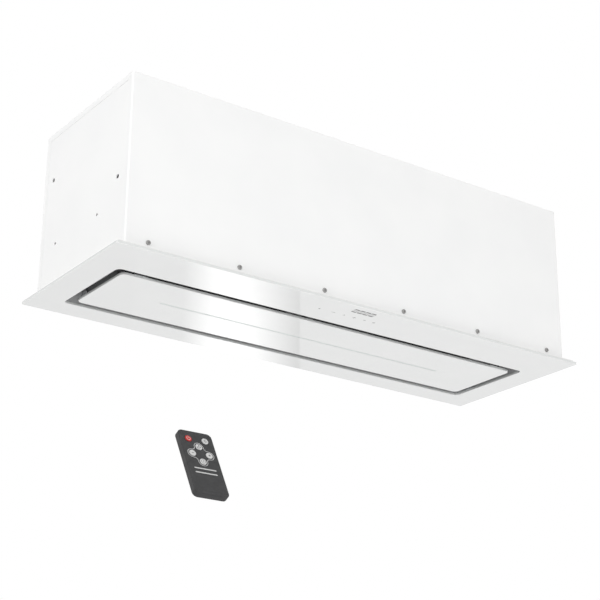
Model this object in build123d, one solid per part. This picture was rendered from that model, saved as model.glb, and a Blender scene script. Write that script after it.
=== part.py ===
"""Ceiling range hood: glass flange, hinged lit panel, two filters, twin-inlet blower and a remote.

Millimetres. +X runs along the hood, the touch keys and the visible screws are on the -Y side, +Z is up.
The origin is on the ceiling's underside, in the middle of the housing's plan.
"""

import math
import os

from build123d import *

# ---------------------------------------------------------------- housing and base frame
body_length = 862.0
body_depth = 276.0
sheet = 1.2
seal_thickness = 2.0
seal_edge_inset = 4.0
seal_body_gap = 0.8
fold_radius = 2.5
seam_flange = 10.0
seam_gap = 0.4
mitre_run = 15.0
lap_width = 24.0
lap_end_gap = 5.0
lap_foot_gap = 2.0
side_return = 15.0
upstand_height = 20.0
upstand_end_gap = 6.0
upstand_corner_gap = 8.0
frame_margin = 2.0

# ---------------------------------------------------------------- flange and centre panel
flange_side_lip = 19.0
flange_front_lip = 14.0
flange_corner = 2.5
glass = 4.0
glass_bevel = 0.5
opening_side_border = 49.0
opening_front_border = 84.5
opening_rear_border = 45.5
opening_corner = 9.0
suction_gap = 15.0
panel_corner = 9.0
panel_bevel = 0.6

# ---------------------------------------------------------------- suction recess
recess_sheet = 1.0
recess_reveal = 1.0
recess_clearance = 0.3
recess_height = 46.0
recess_flange = 12.0
deck_side_margin = 15.0
deck_front_margin = 14.5
deck_web = 28.0
cover_lift = 9.0
cover_end_inset = 36.0
cover_length = 26.0
cover_depth = 30.5
cover_upstand = 15.0
catch_depth = 9.0
catch_side_margin = 2.0
catch_rear_margin = 3.0
catch_gap = 0.3
strike_thickness = 1.5
strike_margin = 1.0

# ---------------------------------------------------------------- panel hinge
hinge_inset = 19.5
hinge_rise = 8.0
hinge_pin_radius = 3.0
hinge_running_gap = 0.05
hinge_seat_gap = 0.02
hinge_tip = 1.6
bracket_plate = 2.0
bracket_width = 28.0
bracket_head = 4.0
bracket_boss_radius = 6.5
bracket_boss_height = 3.0
ear_thickness = 2.0
ear_radius = 7.0
ear_width = 24.0
pin_pan_gap = 1.0

# ---------------------------------------------------------------- panel pan and light line
pan_inset = 4.0
pan_front_inset = 27.0
pan_height = 11.2
pan_corner = 6.0
light_end_inset = 108.0
light_width = 3.2
light_slot_gap = 0.2
profile_width = 12.0
profile_height = 8.0
profile_wall = 1.2
profile_overrun = 3.0
diffuser_head = 1.5
diffuser_overrun = 1.0
strip_width = 8.0
strip_thickness = 1.0

# ---------------------------------------------------------------- touch keys behind the flange glass
touch_centre_x = -12.0
touch_length = 134.0
touch_depth = 36.0
touch_height = 9.0
touch_wall = 1.5
touch_front_gap = 0.4
touch_window_gap = 1.0
board_thickness = 1.6
display_length = 42.0
display_depth = 11.0
display_x = 1.5

# ---------------------------------------------------------------- screws and holes
screw_count = 6
screw_end_inset = 38.5
screw_height = 13.3
screw_radius = 2.0
screw_hole_gap = 0.08
screw_head_radius = 3.8
screw_head_height = 2.4
screw_head_edge = 1.44
screw_length = 9.0
screw_recess_width = 0.9
screw_recess_span = 4.2
screw_recess_depth = 1.3
nut_radius = 3.4
nut_length = 3.2
side_small_radius = 2.2
side_small_height = 80.0
side_small_y = 19.5
side_small_pitch = 135.0
side_large_radius = 3.5
side_large_front_inset = 31.0
side_large_front_height = 120.0
side_large_rear_inset = 30.0
side_large_rear_height = 196.0
hang_end_inset = 51.0
hang_side_inset = 38.0
hang_hole_radius = 4.5
hang_plate = 3.0
hang_width = 40.0
hang_reach = 68.0
hang_drop = 45.0

# ---------------------------------------------------------------- filters
filter_thickness = 10.0
filter_gap = 1.0
filter_corner = 2.0
filter_rim = 12.0
filter_wall = 1.0
pleat_pitch = 12.0
pleat_sheet = 0.6
mesh_gap = 0.5
tongue_width = 20.0
tongue_reach = 8.0
tongue_thickness = 1.5
tongue_pitch = 220.0
latch_width = 32.0
latch_length = 24.0
latch_reach = 7.0
latch_travel = 6.0
latch_gap = 0.3
latch_stem_inset = 4.0
latch_stem_width = 12.0
latch_stem_depth = 3.3
latch_pad_length = 28.0
latch_pad_depth = 6.0
latch_pad_corner = 1.5
latch_pad_height = 4.0
latch_pad_drop = 8.0
latch_block_margin = 4.5

# ---------------------------------------------------------------- blower
axis_y = -20.0
scroll_foot_gap = 5.5
scroll_width = 144.0
scroll_sheet = 1.0
scroll_step = 13.0
scroll_tongue_angle = 70.0
scroll_tongue_gap = 4.0
scroll_rim = 6.0
outlet_neck = 18.3
impeller_radius = 76.0
impeller_side_gap = 10.0
blade_count = 32
blade_depth = 11.5
blade_lead = 8.5
blade_bow = 2.2
blade_thickness = 0.9
blade_tip_inset = 0.5
end_ring_depth = 6.0
end_ring_thickness = 2.0
hub_radius = 14.0
hub_length = 16.0
hub_offset = -4.0
shaft_radius = 4.0
shaft_running_gap = 0.05
shaft_seat_gap = 0.02
shaft_length = 62.0
shaft_tip = 1.0
shaft_end_gap = 3.0
inlet_inset = 16.0
inlet_flare = 8.0
inlet_neck = 2.5
inlet_flange = 6.0
inlet_hole_gap = 0.2
motor_inlet_gap = 14.0
motor_hub_gap = 4.0
motor_boss_radius = 12.0
motor_boss_height = 3.0
motor_edge = 6.0
bracket_arm_width = 18.0
bracket_foot_gap = 11.0
bracket_thickness = 3.0
outlet_flange_width = 14.0
capacitor_radius = 16.0
capacitor_length = 62.0
capacitor_edge = 3.0
capacitor_inlet_gap = 4.0
capacitor_stud_radius = 4.0
capacitor_stud_gap = 0.1
capacitor_stud_proud = 1.0
capacitor_angle = -45.0
capacitor_nut_radius = 7.0
capacitor_nut_height = 5.0

# ---------------------------------------------------------------- duct outlet
duct_radius = 75.0
duct_wall = 1.0
duct_height = 46.0
duct_plate = 1.2
duct_plate_side = 15.0
duct_plate_front = 5.0
duct_plate_corner = 10.0
duct_lead_in = 0.6
flap_seat_width = 4.0
flap_seat_height = 8.0
flap_thickness = 1.2
flap_edge_gap = 1.5
spindle_radius = 2.0
spindle_running_gap = 0.05
spindle_rise = 3.0
knuckle_radius = 3.5
knuckle_length = 22.0
knuckle_gap = 0.5
flap_split = 1.0
flap_web_lap = 0.5

# ---------------------------------------------------------------- electrics
box_end_inset = 146.0
box_length = 130.0
box_depth = 120.0
box_height = 50.0
box_wall = 1.5
box_corner = 4.0
boss_radius = 4.0
boss_drop = 36.0
boss_inset = 12.0
lid_gap = 0.2
lid_rim = 3.0
board_corner = 2.0
part_inset = 11.0
transformer_front_inset = 16.0
transformer_size = 30.0
transformer_height = 20.0
relay_count = 3
relay_start = 14.0
relay_pitch = 13.0
relay_length = 20.0
relay_depth = 10.5
relay_height = 15.0
terminal_inset = 17.0
terminal_width = 12.0
terminal_length = 68.0
terminal_height = 11.0
gland_radius = 9.9
gland_hole_gap = 0.2
gland_bore = 4.0
gland_hex = 13.0
gland_base_height = 6.0
gland_cap_height = 10.0
gland_cap_edge = 4.0
gland_barrel = 15.0
gland_nut_height = 5.0
driver_end_inset = 141.0
driver_length = 130.0
driver_depth = 40.0
driver_height = 22.0
driver_corner = 8.0
driver_ear = 8.0
driver_ear_thickness = 2.0
driver_ear_corner = 3.0
driver_hole_radius = 1.8

# ---------------------------------------------------------------- remote control
remote_width = 57.0
remote_length = 120.0
remote_thickness = 10.0
remote_corner = 8.0
remote_edge = 1.4
remote_skin = 1.5
remote_back_skin = 1.2
remote_x = -276.0
remote_y = -114.0
remote_z = -293.0
remote_tilt = 61.2
key_radius = 5.4
key_gap = 0.3
key_proud = 0.8
key_edge = 0.5
key_flange = 1.2
key_flange_thickness = 0.9
key_offset = 14.0
key_top_inset = 16.6
pad_drop = 27.7
remote_board_thickness = 1.2
remote_board_side_gap = 1.0
remote_board_end_gap = 3.5
remote_board_tray_gap = 3.0
remote_dome_radius = 3.0
remote_dome_height = 0.7
remote_post_radius = 2.4
remote_post_inset = 7.0
remote_post_front = 10.0
remote_post_rear = 30.0
remote_root = 0.1
remote_cap = 6.0
remote_cap_gap = 0.2
cell_radius = 10.0
cell_thickness = 2.5
cell_edge = 0.5
cell_gap = 0.1
cell_top_gap = 0.2
cell_end_wall = 3.0
tray_side_wall = 3.0
tray_depth = 32.0
tray_floor = 0.6
tray_root = 0.5
tray_side_gap = 0.3
tray_end_gap = 1.0
tray_rib = 1.2

# ---------------------------------------------------------------- levels, sizes and places worked out
half_length = body_length / 2
half_depth = body_depth / 2
flange_length = body_length + 2 * flange_side_lip
flange_depth = body_depth + 2 * flange_front_lip
opening_length = flange_length - 2 * opening_side_border
opening_depth = flange_depth - opening_front_border - opening_rear_border
opening_centre_y = (opening_front_border - opening_rear_border) / 2
panel_length = opening_length - 2 * suction_gap
panel_depth = opening_depth - 2 * suction_gap
recess_length = opening_length + 2 * recess_reveal
recess_depth = opening_depth + 2 * recess_reveal
recess_corner = opening_corner + recess_reveal
recess_front = opening_centre_y - recess_depth / 2
light_length = panel_length - 2 * light_end_inset
filter_length = (recess_length - 2 * deck_side_margin - deck_web) / 2 - 2 * filter_gap
filter_depth = recess_depth - 2 * deck_front_margin - 2 * filter_gap
filter_spacing = filter_length + 2 * filter_gap + deck_web

body_bottom = -seal_thickness
frame_bottom = body_bottom - sheet
glass_top = frame_bottom
glass_bottom = glass_top - glass
deck_bottom = body_bottom + recess_height
deck_top = deck_bottom + recess_sheet
hinge_y = opening_centre_y + panel_depth / 2 - hinge_inset
hinge_z = body_bottom + hinge_rise
screw_z = body_bottom + screw_height
screw_pitch = (body_length - 2 * screw_end_inset) / (screw_count - 1)
screw_xs = [(index - (screw_count - 1) / 2) * screw_pitch for index in range(screw_count)]

scroll_tongue_radius = impeller_radius + scroll_tongue_gap
scroll_bottom = deck_top + filter_thickness / 2 + scroll_foot_gap + scroll_rim
axis_z = scroll_bottom + scroll_tongue_radius + 2 * scroll_step + scroll_step / 2
top_inside = axis_z + scroll_step / 2 + scroll_tongue_radius + outlet_neck
body_top = top_inside + sheet
body_height = body_top - body_bottom
impeller_width = scroll_width - 2 * impeller_side_gap
inlet_radius = impeller_radius - inlet_inset
inlet_reach = inlet_radius + inlet_flare + inlet_flange
motor_radius = inlet_radius - motor_inlet_gap
bracket_arm_reach = inlet_reach + bracket_foot_gap + bracket_arm_width / 2
capacitor_orbit = inlet_reach + capacitor_inlet_gap + capacitor_radius
hang_points = [
    (side * (half_length - hang_end_inset), end * (half_depth - hang_side_inset))
    for side in (-1, 1)
    for end in (-1, 1)
]
box_centre_x = box_end_inset - half_length
driver_x = half_length - driver_end_inset

power_y = remote_length / 2 - key_top_inset
pad_y = power_y - pad_drop
tray_width = 2 * (cell_radius + tray_side_wall)
tray_height = tray_floor + cell_thickness + cell_top_gap
tray_end = -remote_length / 2 + remote_cap + tray_depth


def block(x_limits, y_limits, z_limits):
    """A box between the given limits."""
    size = [high - low for low, high in (x_limits, y_limits, z_limits)]
    middle = [(low + high) / 2 for low, high in (x_limits, y_limits, z_limits)]
    return Pos(*middle) * Box(*size)


def mirrored_block(side, x_limits, y_limits, z_limits):
    """A box whose X limits are measured outwards from the middle, on the side given by its sign."""
    ends = sorted(side * value for value in x_limits)
    return block(ends, y_limits, z_limits)


def rod_x(radius, x_limits, y, z):
    """A cylinder along X."""
    low, high = sorted(x_limits)
    return Pos((low + high) / 2, y, z) * Rot(0, 90, 0) * Cylinder(radius, high - low)


def rod_y(radius, y_limits, x, z):
    """A cylinder along Y."""
    low, high = sorted(y_limits)
    return Pos(x, (low + high) / 2, z) * Rot(90, 0, 0) * Cylinder(radius, high - low)


def rod_z(radius, z_limits, x, y):
    """A cylinder along Z."""
    low, high = sorted(z_limits)
    return Pos(x, y, (low + high) / 2) * Cylinder(radius, high - low)


def slab(length, depth, corner, z_limits, centre=(0.0, 0.0)):
    """A flat plate with rounded corners."""
    low, high = z_limits
    outline = Pos(centre[0], centre[1], low) * RectangleRounded(length, depth, corner)
    return extrude(outline, high - low)


def plate_x(outline, x_limits):
    """An outline drawn in Y and Z, given its thickness along X."""
    low, high = sorted(x_limits)
    return extrude(Plane.YZ.offset(low) * outline, high - low, dir=(1, 0, 0))


def edges_at(solid, axis, value):
    """The edges of a solid that lie at one level along an axis."""
    return solid.edges().filter_by_position(axis, value - 0.01, value + 0.01)


# ================================================================ housing
def seam_outline(gap):
    """Outline in Y and Z of the flange that the back-and-top sheet folds over each side."""
    front = -half_depth - gap
    low = body_top - seam_flange - gap
    rear = half_depth - seam_flange - gap
    return Polygon(
        (front + 2 * sheet, body_top),
        (half_depth, body_top),
        (half_depth, body_bottom),
        (rear, body_bottom),
        (rear, low),
        (front + mitre_run, low),
        align=None,
    )


def lap_outline():
    """Outline in Y and Z of the joggled strip behind the seam on each side."""
    front = -half_depth + mitre_run + lap_end_gap
    rear = half_depth - sheet - seam_gap
    high = top_inside - seam_gap
    foot = body_bottom + upstand_height + lap_foot_gap
    return Polygon(
        (front, high),
        (rear, high),
        (rear, foot),
        (rear - lap_width, foot),
        (rear - lap_width, high - lap_width),
        (front, high - lap_width),
        align=None,
    )


def side_holes():
    """The round holes punched through both side walls."""
    reach = (-half_length - 1.0, half_length + 1.0)
    small = [
        (side_small_y - side_small_pitch / 2, side_small_height),
        (side_small_y + side_small_pitch / 2, side_small_height),
    ]
    cuts = [rod_x(side_small_radius, reach, y, body_bottom + height) for y, height in small]
    large = [
        (side_large_front_inset - half_depth, side_large_front_height),
        (half_depth - side_large_rear_inset, side_large_rear_height),
    ]
    cuts += [rod_x(side_large_radius, reach, y, body_bottom + height) for y, height in large]
    return cuts


def housing_wrap():
    """Front wall and both side walls, folded from one sheet, with a return along the front's top."""
    outer = Rectangle(body_length, body_depth)
    outer = fillet(outer.vertices().group_by(Axis.Y)[0], fold_radius)
    inner = Rectangle(body_length - 2 * sheet, body_depth - 2 * sheet)
    inner = fillet(inner.vertices().group_by(Axis.Y)[0], fold_radius - sheet)
    open_back = Pos(0, half_depth) * Rectangle(body_length + 2, 2 * (seam_flange + seam_gap))
    walls = extrude(Pos(0, 0, body_bottom) * (outer - inner - open_back), body_height)
    for side in (-1, 1):
        outside = (side * (half_length - sheet), side * (half_length + 1))
        walls -= plate_x(seam_outline(seam_gap), outside)
        laps = (side * (half_length - 2 * sheet), side * (half_length - sheet))
        walls += plate_x(lap_outline(), laps)
    front_return = block(
        (-half_length + 2 * sheet, half_length - 2 * sheet),
        (-half_depth, -half_depth + side_return),
        (top_inside, body_top),
    )
    walls += front_return
    for cut in side_holes():
        walls -= cut
    through = (-half_depth - 1, -half_depth + sheet + 1)
    for x in screw_xs:
        walls -= rod_y(screw_radius + screw_hole_gap, through, x, screw_z)
    return walls


def housing_back_top():
    """Back wall and top, folded from one sheet, with narrow flanges over both sides."""
    top = block(
        (-half_length, half_length),
        (-half_depth + side_return + seam_gap, half_depth),
        (top_inside, body_top),
    )
    back = block((-half_length, half_length), (half_depth - sheet, half_depth), (body_bottom, body_top))
    cover = top + back
    for side in (-1, 1):
        cover += plate_x(seam_outline(0.0), (side * (half_length - sheet), side * half_length))
    rear_top = edges_at(cover, Axis.Y, half_depth).filter_by(Axis.X).sort_by(Axis.Z)[-1]
    cover = fillet(rear_top, fold_radius)
    cover -= rod_z(duct_radius, (top_inside - 1, body_top + 1), 0, outlet_y())
    cover -= rod_z(gland_radius + gland_hole_gap, (top_inside - 1, body_top + 1), box_centre_x, 0)
    for x, y in hang_points:
        cover -= rod_z(hang_hole_radius, (top_inside - 1, body_top + 1), x, y)
    for x in screw_xs:
        through = (half_depth - sheet - 1, half_depth + 1)
        cover -= rod_y(screw_radius + screw_hole_gap, through, x, screw_z)
    return cover


def pan_head_screw():
    """One cross-recess pan-head screw, its head's underside at the origin and its shank down -Z."""
    head = Pos(0, 0, screw_head_height / 2) * Cylinder(screw_head_radius, screw_head_height)
    head = fillet(edges_at(head, Axis.Z, screw_head_height), screw_head_edge)
    recess_z = (screw_head_height - screw_recess_depth, screw_head_height + 1)
    narrow = (-screw_recess_width / 2, screw_recess_width / 2)
    wide = (-screw_recess_span / 2, screw_recess_span / 2)
    head -= block(narrow, wide, recess_z) + block(wide, narrow, recess_z)
    return head + rod_z(screw_radius, (-screw_length, 0.1), 0, 0)


def housing_screws():
    """The rows of screws that fix the housing to the base frame's upstands, front and back."""
    screw = pan_head_screw()
    front = [Pos(x, -half_depth, screw_z) * Rot(90, 0, 0) * screw for x in screw_xs]
    back = [Pos(x, half_depth, screw_z) * Rot(-90, 0, 0) * screw for x in screw_xs]
    return Compound(children=front + back)


def clinch_nuts():
    """The nuts pressed into the base frame's upstands, one for each housing screw."""
    face = half_depth - 2 * sheet
    nuts = []
    for x in screw_xs:
        for side in (-1, 1):
            span = (side * (face - nut_length), side * face)
            bore = (side * (face - nut_length - 1), side * (face + 1))
            nut = rod_y(nut_radius, span, x, screw_z)
            nuts.append(nut - rod_y(screw_radius + screw_hole_gap, bore, x, screw_z))
    return Compound(children=nuts)


def hanging_brackets():
    """Four angle brackets inside the top corners, each with the hole for one hanging rod."""
    brackets = []
    inner = half_length - 2 * sheet
    for x, y in hang_points:
        side = math.copysign(1, x)
        span = (y - hang_width / 2, y + hang_width / 2)
        level = (top_inside - hang_plate, top_inside)
        drop = (top_inside - hang_drop, top_inside)
        shelf = mirrored_block(side, (inner - hang_reach, inner), span, level)
        leg = mirrored_block(side, (inner - hang_plate, inner), span, drop)
        bracket = shelf + leg - rod_z(hang_hole_radius, (top_inside - hang_plate - 1, body_top), x, y)
        brackets.append(bracket)
    return Compound(children=brackets)


# ================================================================ base frame, seal and flange
def touch_window():
    """Limits in X and Y of the touch unit behind the flange glass."""
    front = -half_depth + 2 * sheet + touch_front_gap
    return (
        (touch_centre_x - touch_length / 2, touch_centre_x + touch_length / 2),
        (front, front + touch_depth),
    )


def base_frame():
    """Steel ring under the housing with upstands that stand inside its walls."""
    ring = slab(
        flange_length - 2 * frame_margin,
        flange_depth - 2 * frame_margin,
        flange_corner,
        (frame_bottom, body_bottom),
    )
    hole = slab(
        recess_length + 2 * (recess_sheet + recess_clearance),
        recess_depth + 2 * (recess_sheet + recess_clearance),
        recess_corner + recess_sheet + recess_clearance,
        (frame_bottom - 1, body_bottom + 1),
        (0, opening_centre_y),
    )
    ring -= hole
    (left, right), (front, rear) = touch_window()
    ring -= block(
        (left - touch_window_gap, right + touch_window_gap),
        (front, rear + touch_window_gap),
        (frame_bottom - 1, body_bottom + 1),
    )
    level = (frame_bottom, body_bottom + upstand_height)
    long_side = half_length - upstand_end_gap
    short_side = (upstand_corner_gap - half_depth, half_depth - upstand_corner_gap)
    for side in (-1, 1):
        face = sorted((side * (half_depth - sheet), side * (half_depth - 2 * sheet)))
        ring += block((-long_side, long_side), face, level)
        ring += mirrored_block(side, (half_length - 2 * sheet, half_length - sheet), short_side, level)
    for x in screw_xs:
        for side in (-1, 1):
            reach = (side * (half_depth - 4 * sheet), side * half_depth)
            ring -= rod_y(screw_radius + screw_hole_gap, reach, x, screw_z)
    return ring


def ceiling_seal():
    """Foam ring round the housing, pressed between the flange and the ceiling."""
    outer = slab(
        flange_length - 2 * seal_edge_inset,
        flange_depth - 2 * seal_edge_inset,
        flange_corner,
        (body_bottom, 0),
    )
    inner = slab(
        body_length + 2 * seal_body_gap,
        body_depth + 2 * seal_body_gap,
        fold_radius,
        (body_bottom - 1, 1),
    )
    return outer - inner


def flange_glass():
    """White glass ring seen from the room, with bevelled lower edges."""
    ring = slab(flange_length, flange_depth, flange_corner, (glass_bottom, glass_top))
    ring -= slab(
        opening_length,
        opening_depth,
        opening_corner,
        (glass_bottom - 1, glass_top + 1),
        (0, opening_centre_y),
    )
    return chamfer(edges_at(ring, Axis.Z, glass_bottom), glass_bevel)


def touch_holder():
    """Open tray behind the glass that carries the touch board."""
    (left, right), (front, rear) = touch_window()
    tray = block((left, right), (front, rear), (glass_top, glass_top + touch_height))
    tray -= block(
        (left + touch_wall, right - touch_wall),
        (front + touch_wall, rear - touch_wall),
        (glass_top - 1, glass_top + touch_height - touch_wall),
    )
    return tray


def touch_board():
    """Printed circuit board hung under the holder's roof."""
    (left, right), (front, rear) = touch_window()
    high = glass_top + touch_height - touch_wall
    return block(
        (left + touch_wall, right - touch_wall),
        (front + touch_wall, rear - touch_wall),
        (high - board_thickness, high),
    )


def display_module():
    """Number display standing between the touch board and the glass."""
    (_, _), (front, _) = touch_window()
    low_y = front + touch_wall
    high = glass_top + touch_height - touch_wall - board_thickness
    return block(
        (display_x - display_length / 2, display_x + display_length / 2),
        (low_y, low_y + display_depth),
        (glass_top, high),
    )


# ================================================================ suction recess
def recess_inside(z_limits, inset=0.0):
    """The recess's inner space between two levels."""
    return slab(
        recess_length - 2 * inset,
        recess_depth - 2 * inset,
        recess_corner - inset,
        z_limits,
        (0, opening_centre_y),
    )


def filter_centres():
    """X positions of the two filters."""
    return (-filter_spacing / 2, filter_spacing / 2)


def recess_tray():
    """Folded steel tray over the opening, with a deck that carries both filters."""
    tray = recess_inside((frame_bottom, deck_top), -recess_sheet)
    rim = slab(
        recess_length + 2 * recess_flange,
        recess_depth + 2 * recess_flange,
        recess_corner,
        (body_bottom, body_bottom + recess_sheet),
        (0, opening_centre_y),
    )
    tray += rim
    tray -= recess_inside((frame_bottom - 1, deck_bottom))
    for x in filter_centres():
        tray -= slab(
            filter_length + 2 * filter_gap,
            filter_depth + 2 * filter_gap,
            filter_corner,
            (deck_bottom - 1, deck_top + 1),
            (x, opening_centre_y),
        )
    return tray


def front_corner_covers():
    """Grey angle plates near the two front corners that carry the magnet catches."""
    low = glass_bottom + cover_lift
    high = low + sheet
    outer = recess_length / 2 - cover_end_inset
    x_limits = (outer - cover_length, outer)
    covers = []
    for side in (-1, 1):
        plate = mirrored_block(
            side, x_limits, (recess_front, recess_front + cover_depth), (low, high)
        )
        tab = mirrored_block(
            side, x_limits, (recess_front, recess_front + sheet), (low, high + cover_upstand)
        )
        covers.append(plate + tab)
    return Compound(children=covers)


def catch_limits(margin=0.0):
    """Limits of one magnetic catch: outwards from the middle, and in Y."""
    outer = recess_length / 2 - cover_end_inset - catch_side_margin
    inner = outer - (cover_length - 2 * catch_side_margin)
    front = recess_front + cover_depth - catch_depth - catch_rear_margin
    return (
        (inner - margin, outer + margin),
        (front - margin, front + catch_depth + margin),
    )


def magnet_catches():
    """Magnet blocks under the covers that hold the panel shut."""
    x_limits, y_limits = catch_limits()
    level = (glass_top + strike_thickness + catch_gap, glass_bottom + cover_lift)
    return Compound(children=[mirrored_block(side, x_limits, y_limits, level) for side in (-1, 1)])


def strike_plates():
    """Steel plates on the panel glass that the magnets pull."""
    x_limits, y_limits = catch_limits(strike_margin)
    level = (glass_top, glass_top + strike_thickness)
    return Compound(children=[mirrored_block(side, x_limits, y_limits, level) for side in (-1, 1)])


def hinge_brackets():
    """Brackets on the recess's end walls, each with a boss for one hinge pin."""
    wall = recess_length / 2
    level = (glass_top, hinge_z + ear_radius + bracket_head)
    brackets = []
    for side in (-1, 1):
        plate = mirrored_block(
            side,
            (wall - bracket_plate, wall),
            (hinge_y - bracket_width / 2, hinge_y + bracket_width / 2),
            level,
        )
        boss = rod_x(
            bracket_boss_radius,
            (side * (wall - bracket_plate - bracket_boss_height), side * (wall - bracket_plate)),
            hinge_y,
            hinge_z,
        )
        bore = rod_x(
            hinge_pin_radius + hinge_seat_gap,
            (side * (wall - bracket_plate - bracket_boss_height - 1), side * (wall + 1)),
            hinge_y,
            hinge_z,
        )
        brackets.append(plate + boss - bore)
    return Compound(children=brackets)


def pan_half_length():
    """Half the length of the pan on the panel glass."""
    return panel_length / 2 - pan_inset


def hinge_pins():
    """Pins from the brackets into the panel's ears."""
    wall = recess_length / 2
    tip = pan_half_length() - hinge_tip
    pins = [rod_x(hinge_pin_radius, (side * tip, side * wall), hinge_y, hinge_z) for side in (-1, 1)]
    return Compound(children=pins)


# ================================================================ centre panel
def light_cut(width, z_limits):
    """A long slot with round ends along the panel's middle line."""
    low, high = z_limits
    outline = Pos(0, opening_centre_y, low) * SlotOverall(light_length + width - light_width, width)
    return extrude(outline, high - low)


def panel_glass():
    """White glass of the centre panel with a slot for the light line."""
    plate = slab(
        panel_length, panel_depth, panel_corner, (glass_bottom, glass_top), (0, opening_centre_y)
    )
    plate = chamfer(edges_at(plate, Axis.Z, glass_bottom), panel_bevel)
    return plate - light_cut(light_width + 2 * light_slot_gap, (glass_bottom - 1, glass_top + 1))


def panel_pan():
    """Shallow steel pan bonded upside down on the panel glass."""
    front = opening_centre_y - panel_depth / 2 + pan_front_inset
    rear = opening_centre_y + panel_depth / 2 - pan_inset
    centre = (0, (front + rear) / 2)
    high = glass_top + pan_height
    outer = slab(2 * pan_half_length(), rear - front, pan_corner, (glass_top, high), centre)
    inner = slab(
        2 * (pan_half_length() - recess_sheet),
        rear - front - 2 * recess_sheet,
        pan_corner - recess_sheet,
        (glass_top - 1, high - recess_sheet),
        centre,
    )
    pan = outer - inner
    for side in (-1, 1):
        reach = (side * (pan_half_length() - 3 * recess_sheet), side * (pan_half_length() + 1))
        pan -= rod_x(hinge_pin_radius + pin_pan_gap, reach, hinge_y, hinge_z)
    return pan


def hinge_ears():
    """Ears on the panel's ends that turn on the hinge pins."""
    base = Pos(hinge_y, (glass_top + hinge_z) / 2) * Rectangle(ear_width, hinge_z - glass_top)
    round_top = Pos(hinge_y, hinge_z) * Circle(ear_radius)
    shoulder = Polygon(
        (hinge_y - ear_width / 2, glass_top),
        (hinge_y + ear_width / 2, glass_top),
        (hinge_y + ear_radius, hinge_z),
        (hinge_y - ear_radius, hinge_z),
        align=None,
    )
    bore = Pos(hinge_y, hinge_z) * Circle(hinge_pin_radius + hinge_running_gap)
    outline = (base & shoulder) + round_top - bore
    near = pan_half_length()
    far = near + ear_thickness
    return Compound(children=[plate_x(outline, (side * near, side * far)) for side in (-1, 1)])


def led_profile():
    """Aluminium channel over the light slot."""
    half = light_length / 2 + profile_overrun
    outer = block(
        (-half, half),
        (opening_centre_y - profile_width / 2, opening_centre_y + profile_width / 2),
        (glass_top, glass_top + profile_height),
    )
    inner = block(
        (-half - 1, half + 1),
        (
            opening_centre_y - profile_width / 2 + profile_wall,
            opening_centre_y + profile_width / 2 - profile_wall,
        ),
        (glass_top - 1, glass_top + profile_height - profile_wall),
    )
    return outer - inner


def led_strip():
    """Light strip under the channel's roof."""
    high = glass_top + profile_height - profile_wall
    return block(
        (-light_length / 2, light_length / 2),
        (opening_centre_y - strip_width / 2, opening_centre_y + strip_width / 2),
        (high - strip_thickness, high),
    )


def led_diffuser():
    """T-shaped milky bar whose stem fills the slot, flush with the panel glass."""
    stem = light_cut(light_width, (glass_bottom, glass_top + diffuser_head))
    head_width = profile_width - 2 * profile_wall - 2 * light_slot_gap
    head = block(
        (-light_length / 2 - diffuser_overrun, light_length / 2 + diffuser_overrun),
        (opening_centre_y - head_width / 2, opening_centre_y + head_width / 2),
        (glass_top, glass_top + diffuser_head),
    )
    return stem + head


# ================================================================ filters
def filter_levels():
    """Lower and upper level of a filter frame."""
    return (deck_top - filter_thickness / 2, deck_top + filter_thickness / 2)


def filter_front():
    """Y of the filter frames' front edge."""
    return opening_centre_y - filter_depth / 2


def filter_frame(centre_x):
    """Channel-section aluminium frame with rear tongues and a pocket for its latch."""
    low, high = filter_levels()
    centre = (centre_x, opening_centre_y)
    inner_length = filter_length - 2 * filter_rim
    inner_depth = filter_depth - 2 * filter_rim
    frame = slab(filter_length, filter_depth, filter_corner, (low, high), centre)
    frame -= slab(inner_length, inner_depth, filter_corner, (low - 1, high + 1), centre)
    frame -= slab(
        filter_length - 2 * filter_wall,
        filter_depth - 2 * filter_wall,
        filter_corner - filter_wall,
        (low + filter_wall, high - filter_wall),
        centre,
    )
    rear = opening_centre_y + filter_depth / 2
    for side in (-1, 1):
        middle = centre_x + side * tongue_pitch / 2
        frame += block(
            (middle - tongue_width / 2, middle + tongue_width / 2),
            (rear - filter_wall, rear + tongue_reach),
            (deck_top, deck_top + tongue_thickness),
        )
    front = filter_front()
    pocket_rear = front - latch_reach + latch_length + latch_travel + latch_gap
    half_block = latch_width / 2 + latch_block_margin
    frame += block(
        (centre_x - half_block, centre_x + half_block),
        (front, pocket_rear + latch_block_margin),
        (low, high),
    )
    frame -= block(
        (centre_x - latch_width / 2 - latch_gap, centre_x + latch_width / 2 + latch_gap),
        (front - 1, pocket_rear),
        (deck_top - latch_gap, deck_top + tongue_thickness + latch_gap),
    )
    stem_front = front + latch_stem_inset - latch_gap
    frame -= block(
        (centre_x - latch_stem_width / 2 - latch_gap, centre_x + latch_stem_width / 2 + latch_gap),
        (stem_front, stem_front + latch_stem_depth + latch_travel + 2 * latch_gap),
        (low - 1, deck_top),
    )
    return frame


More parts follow.
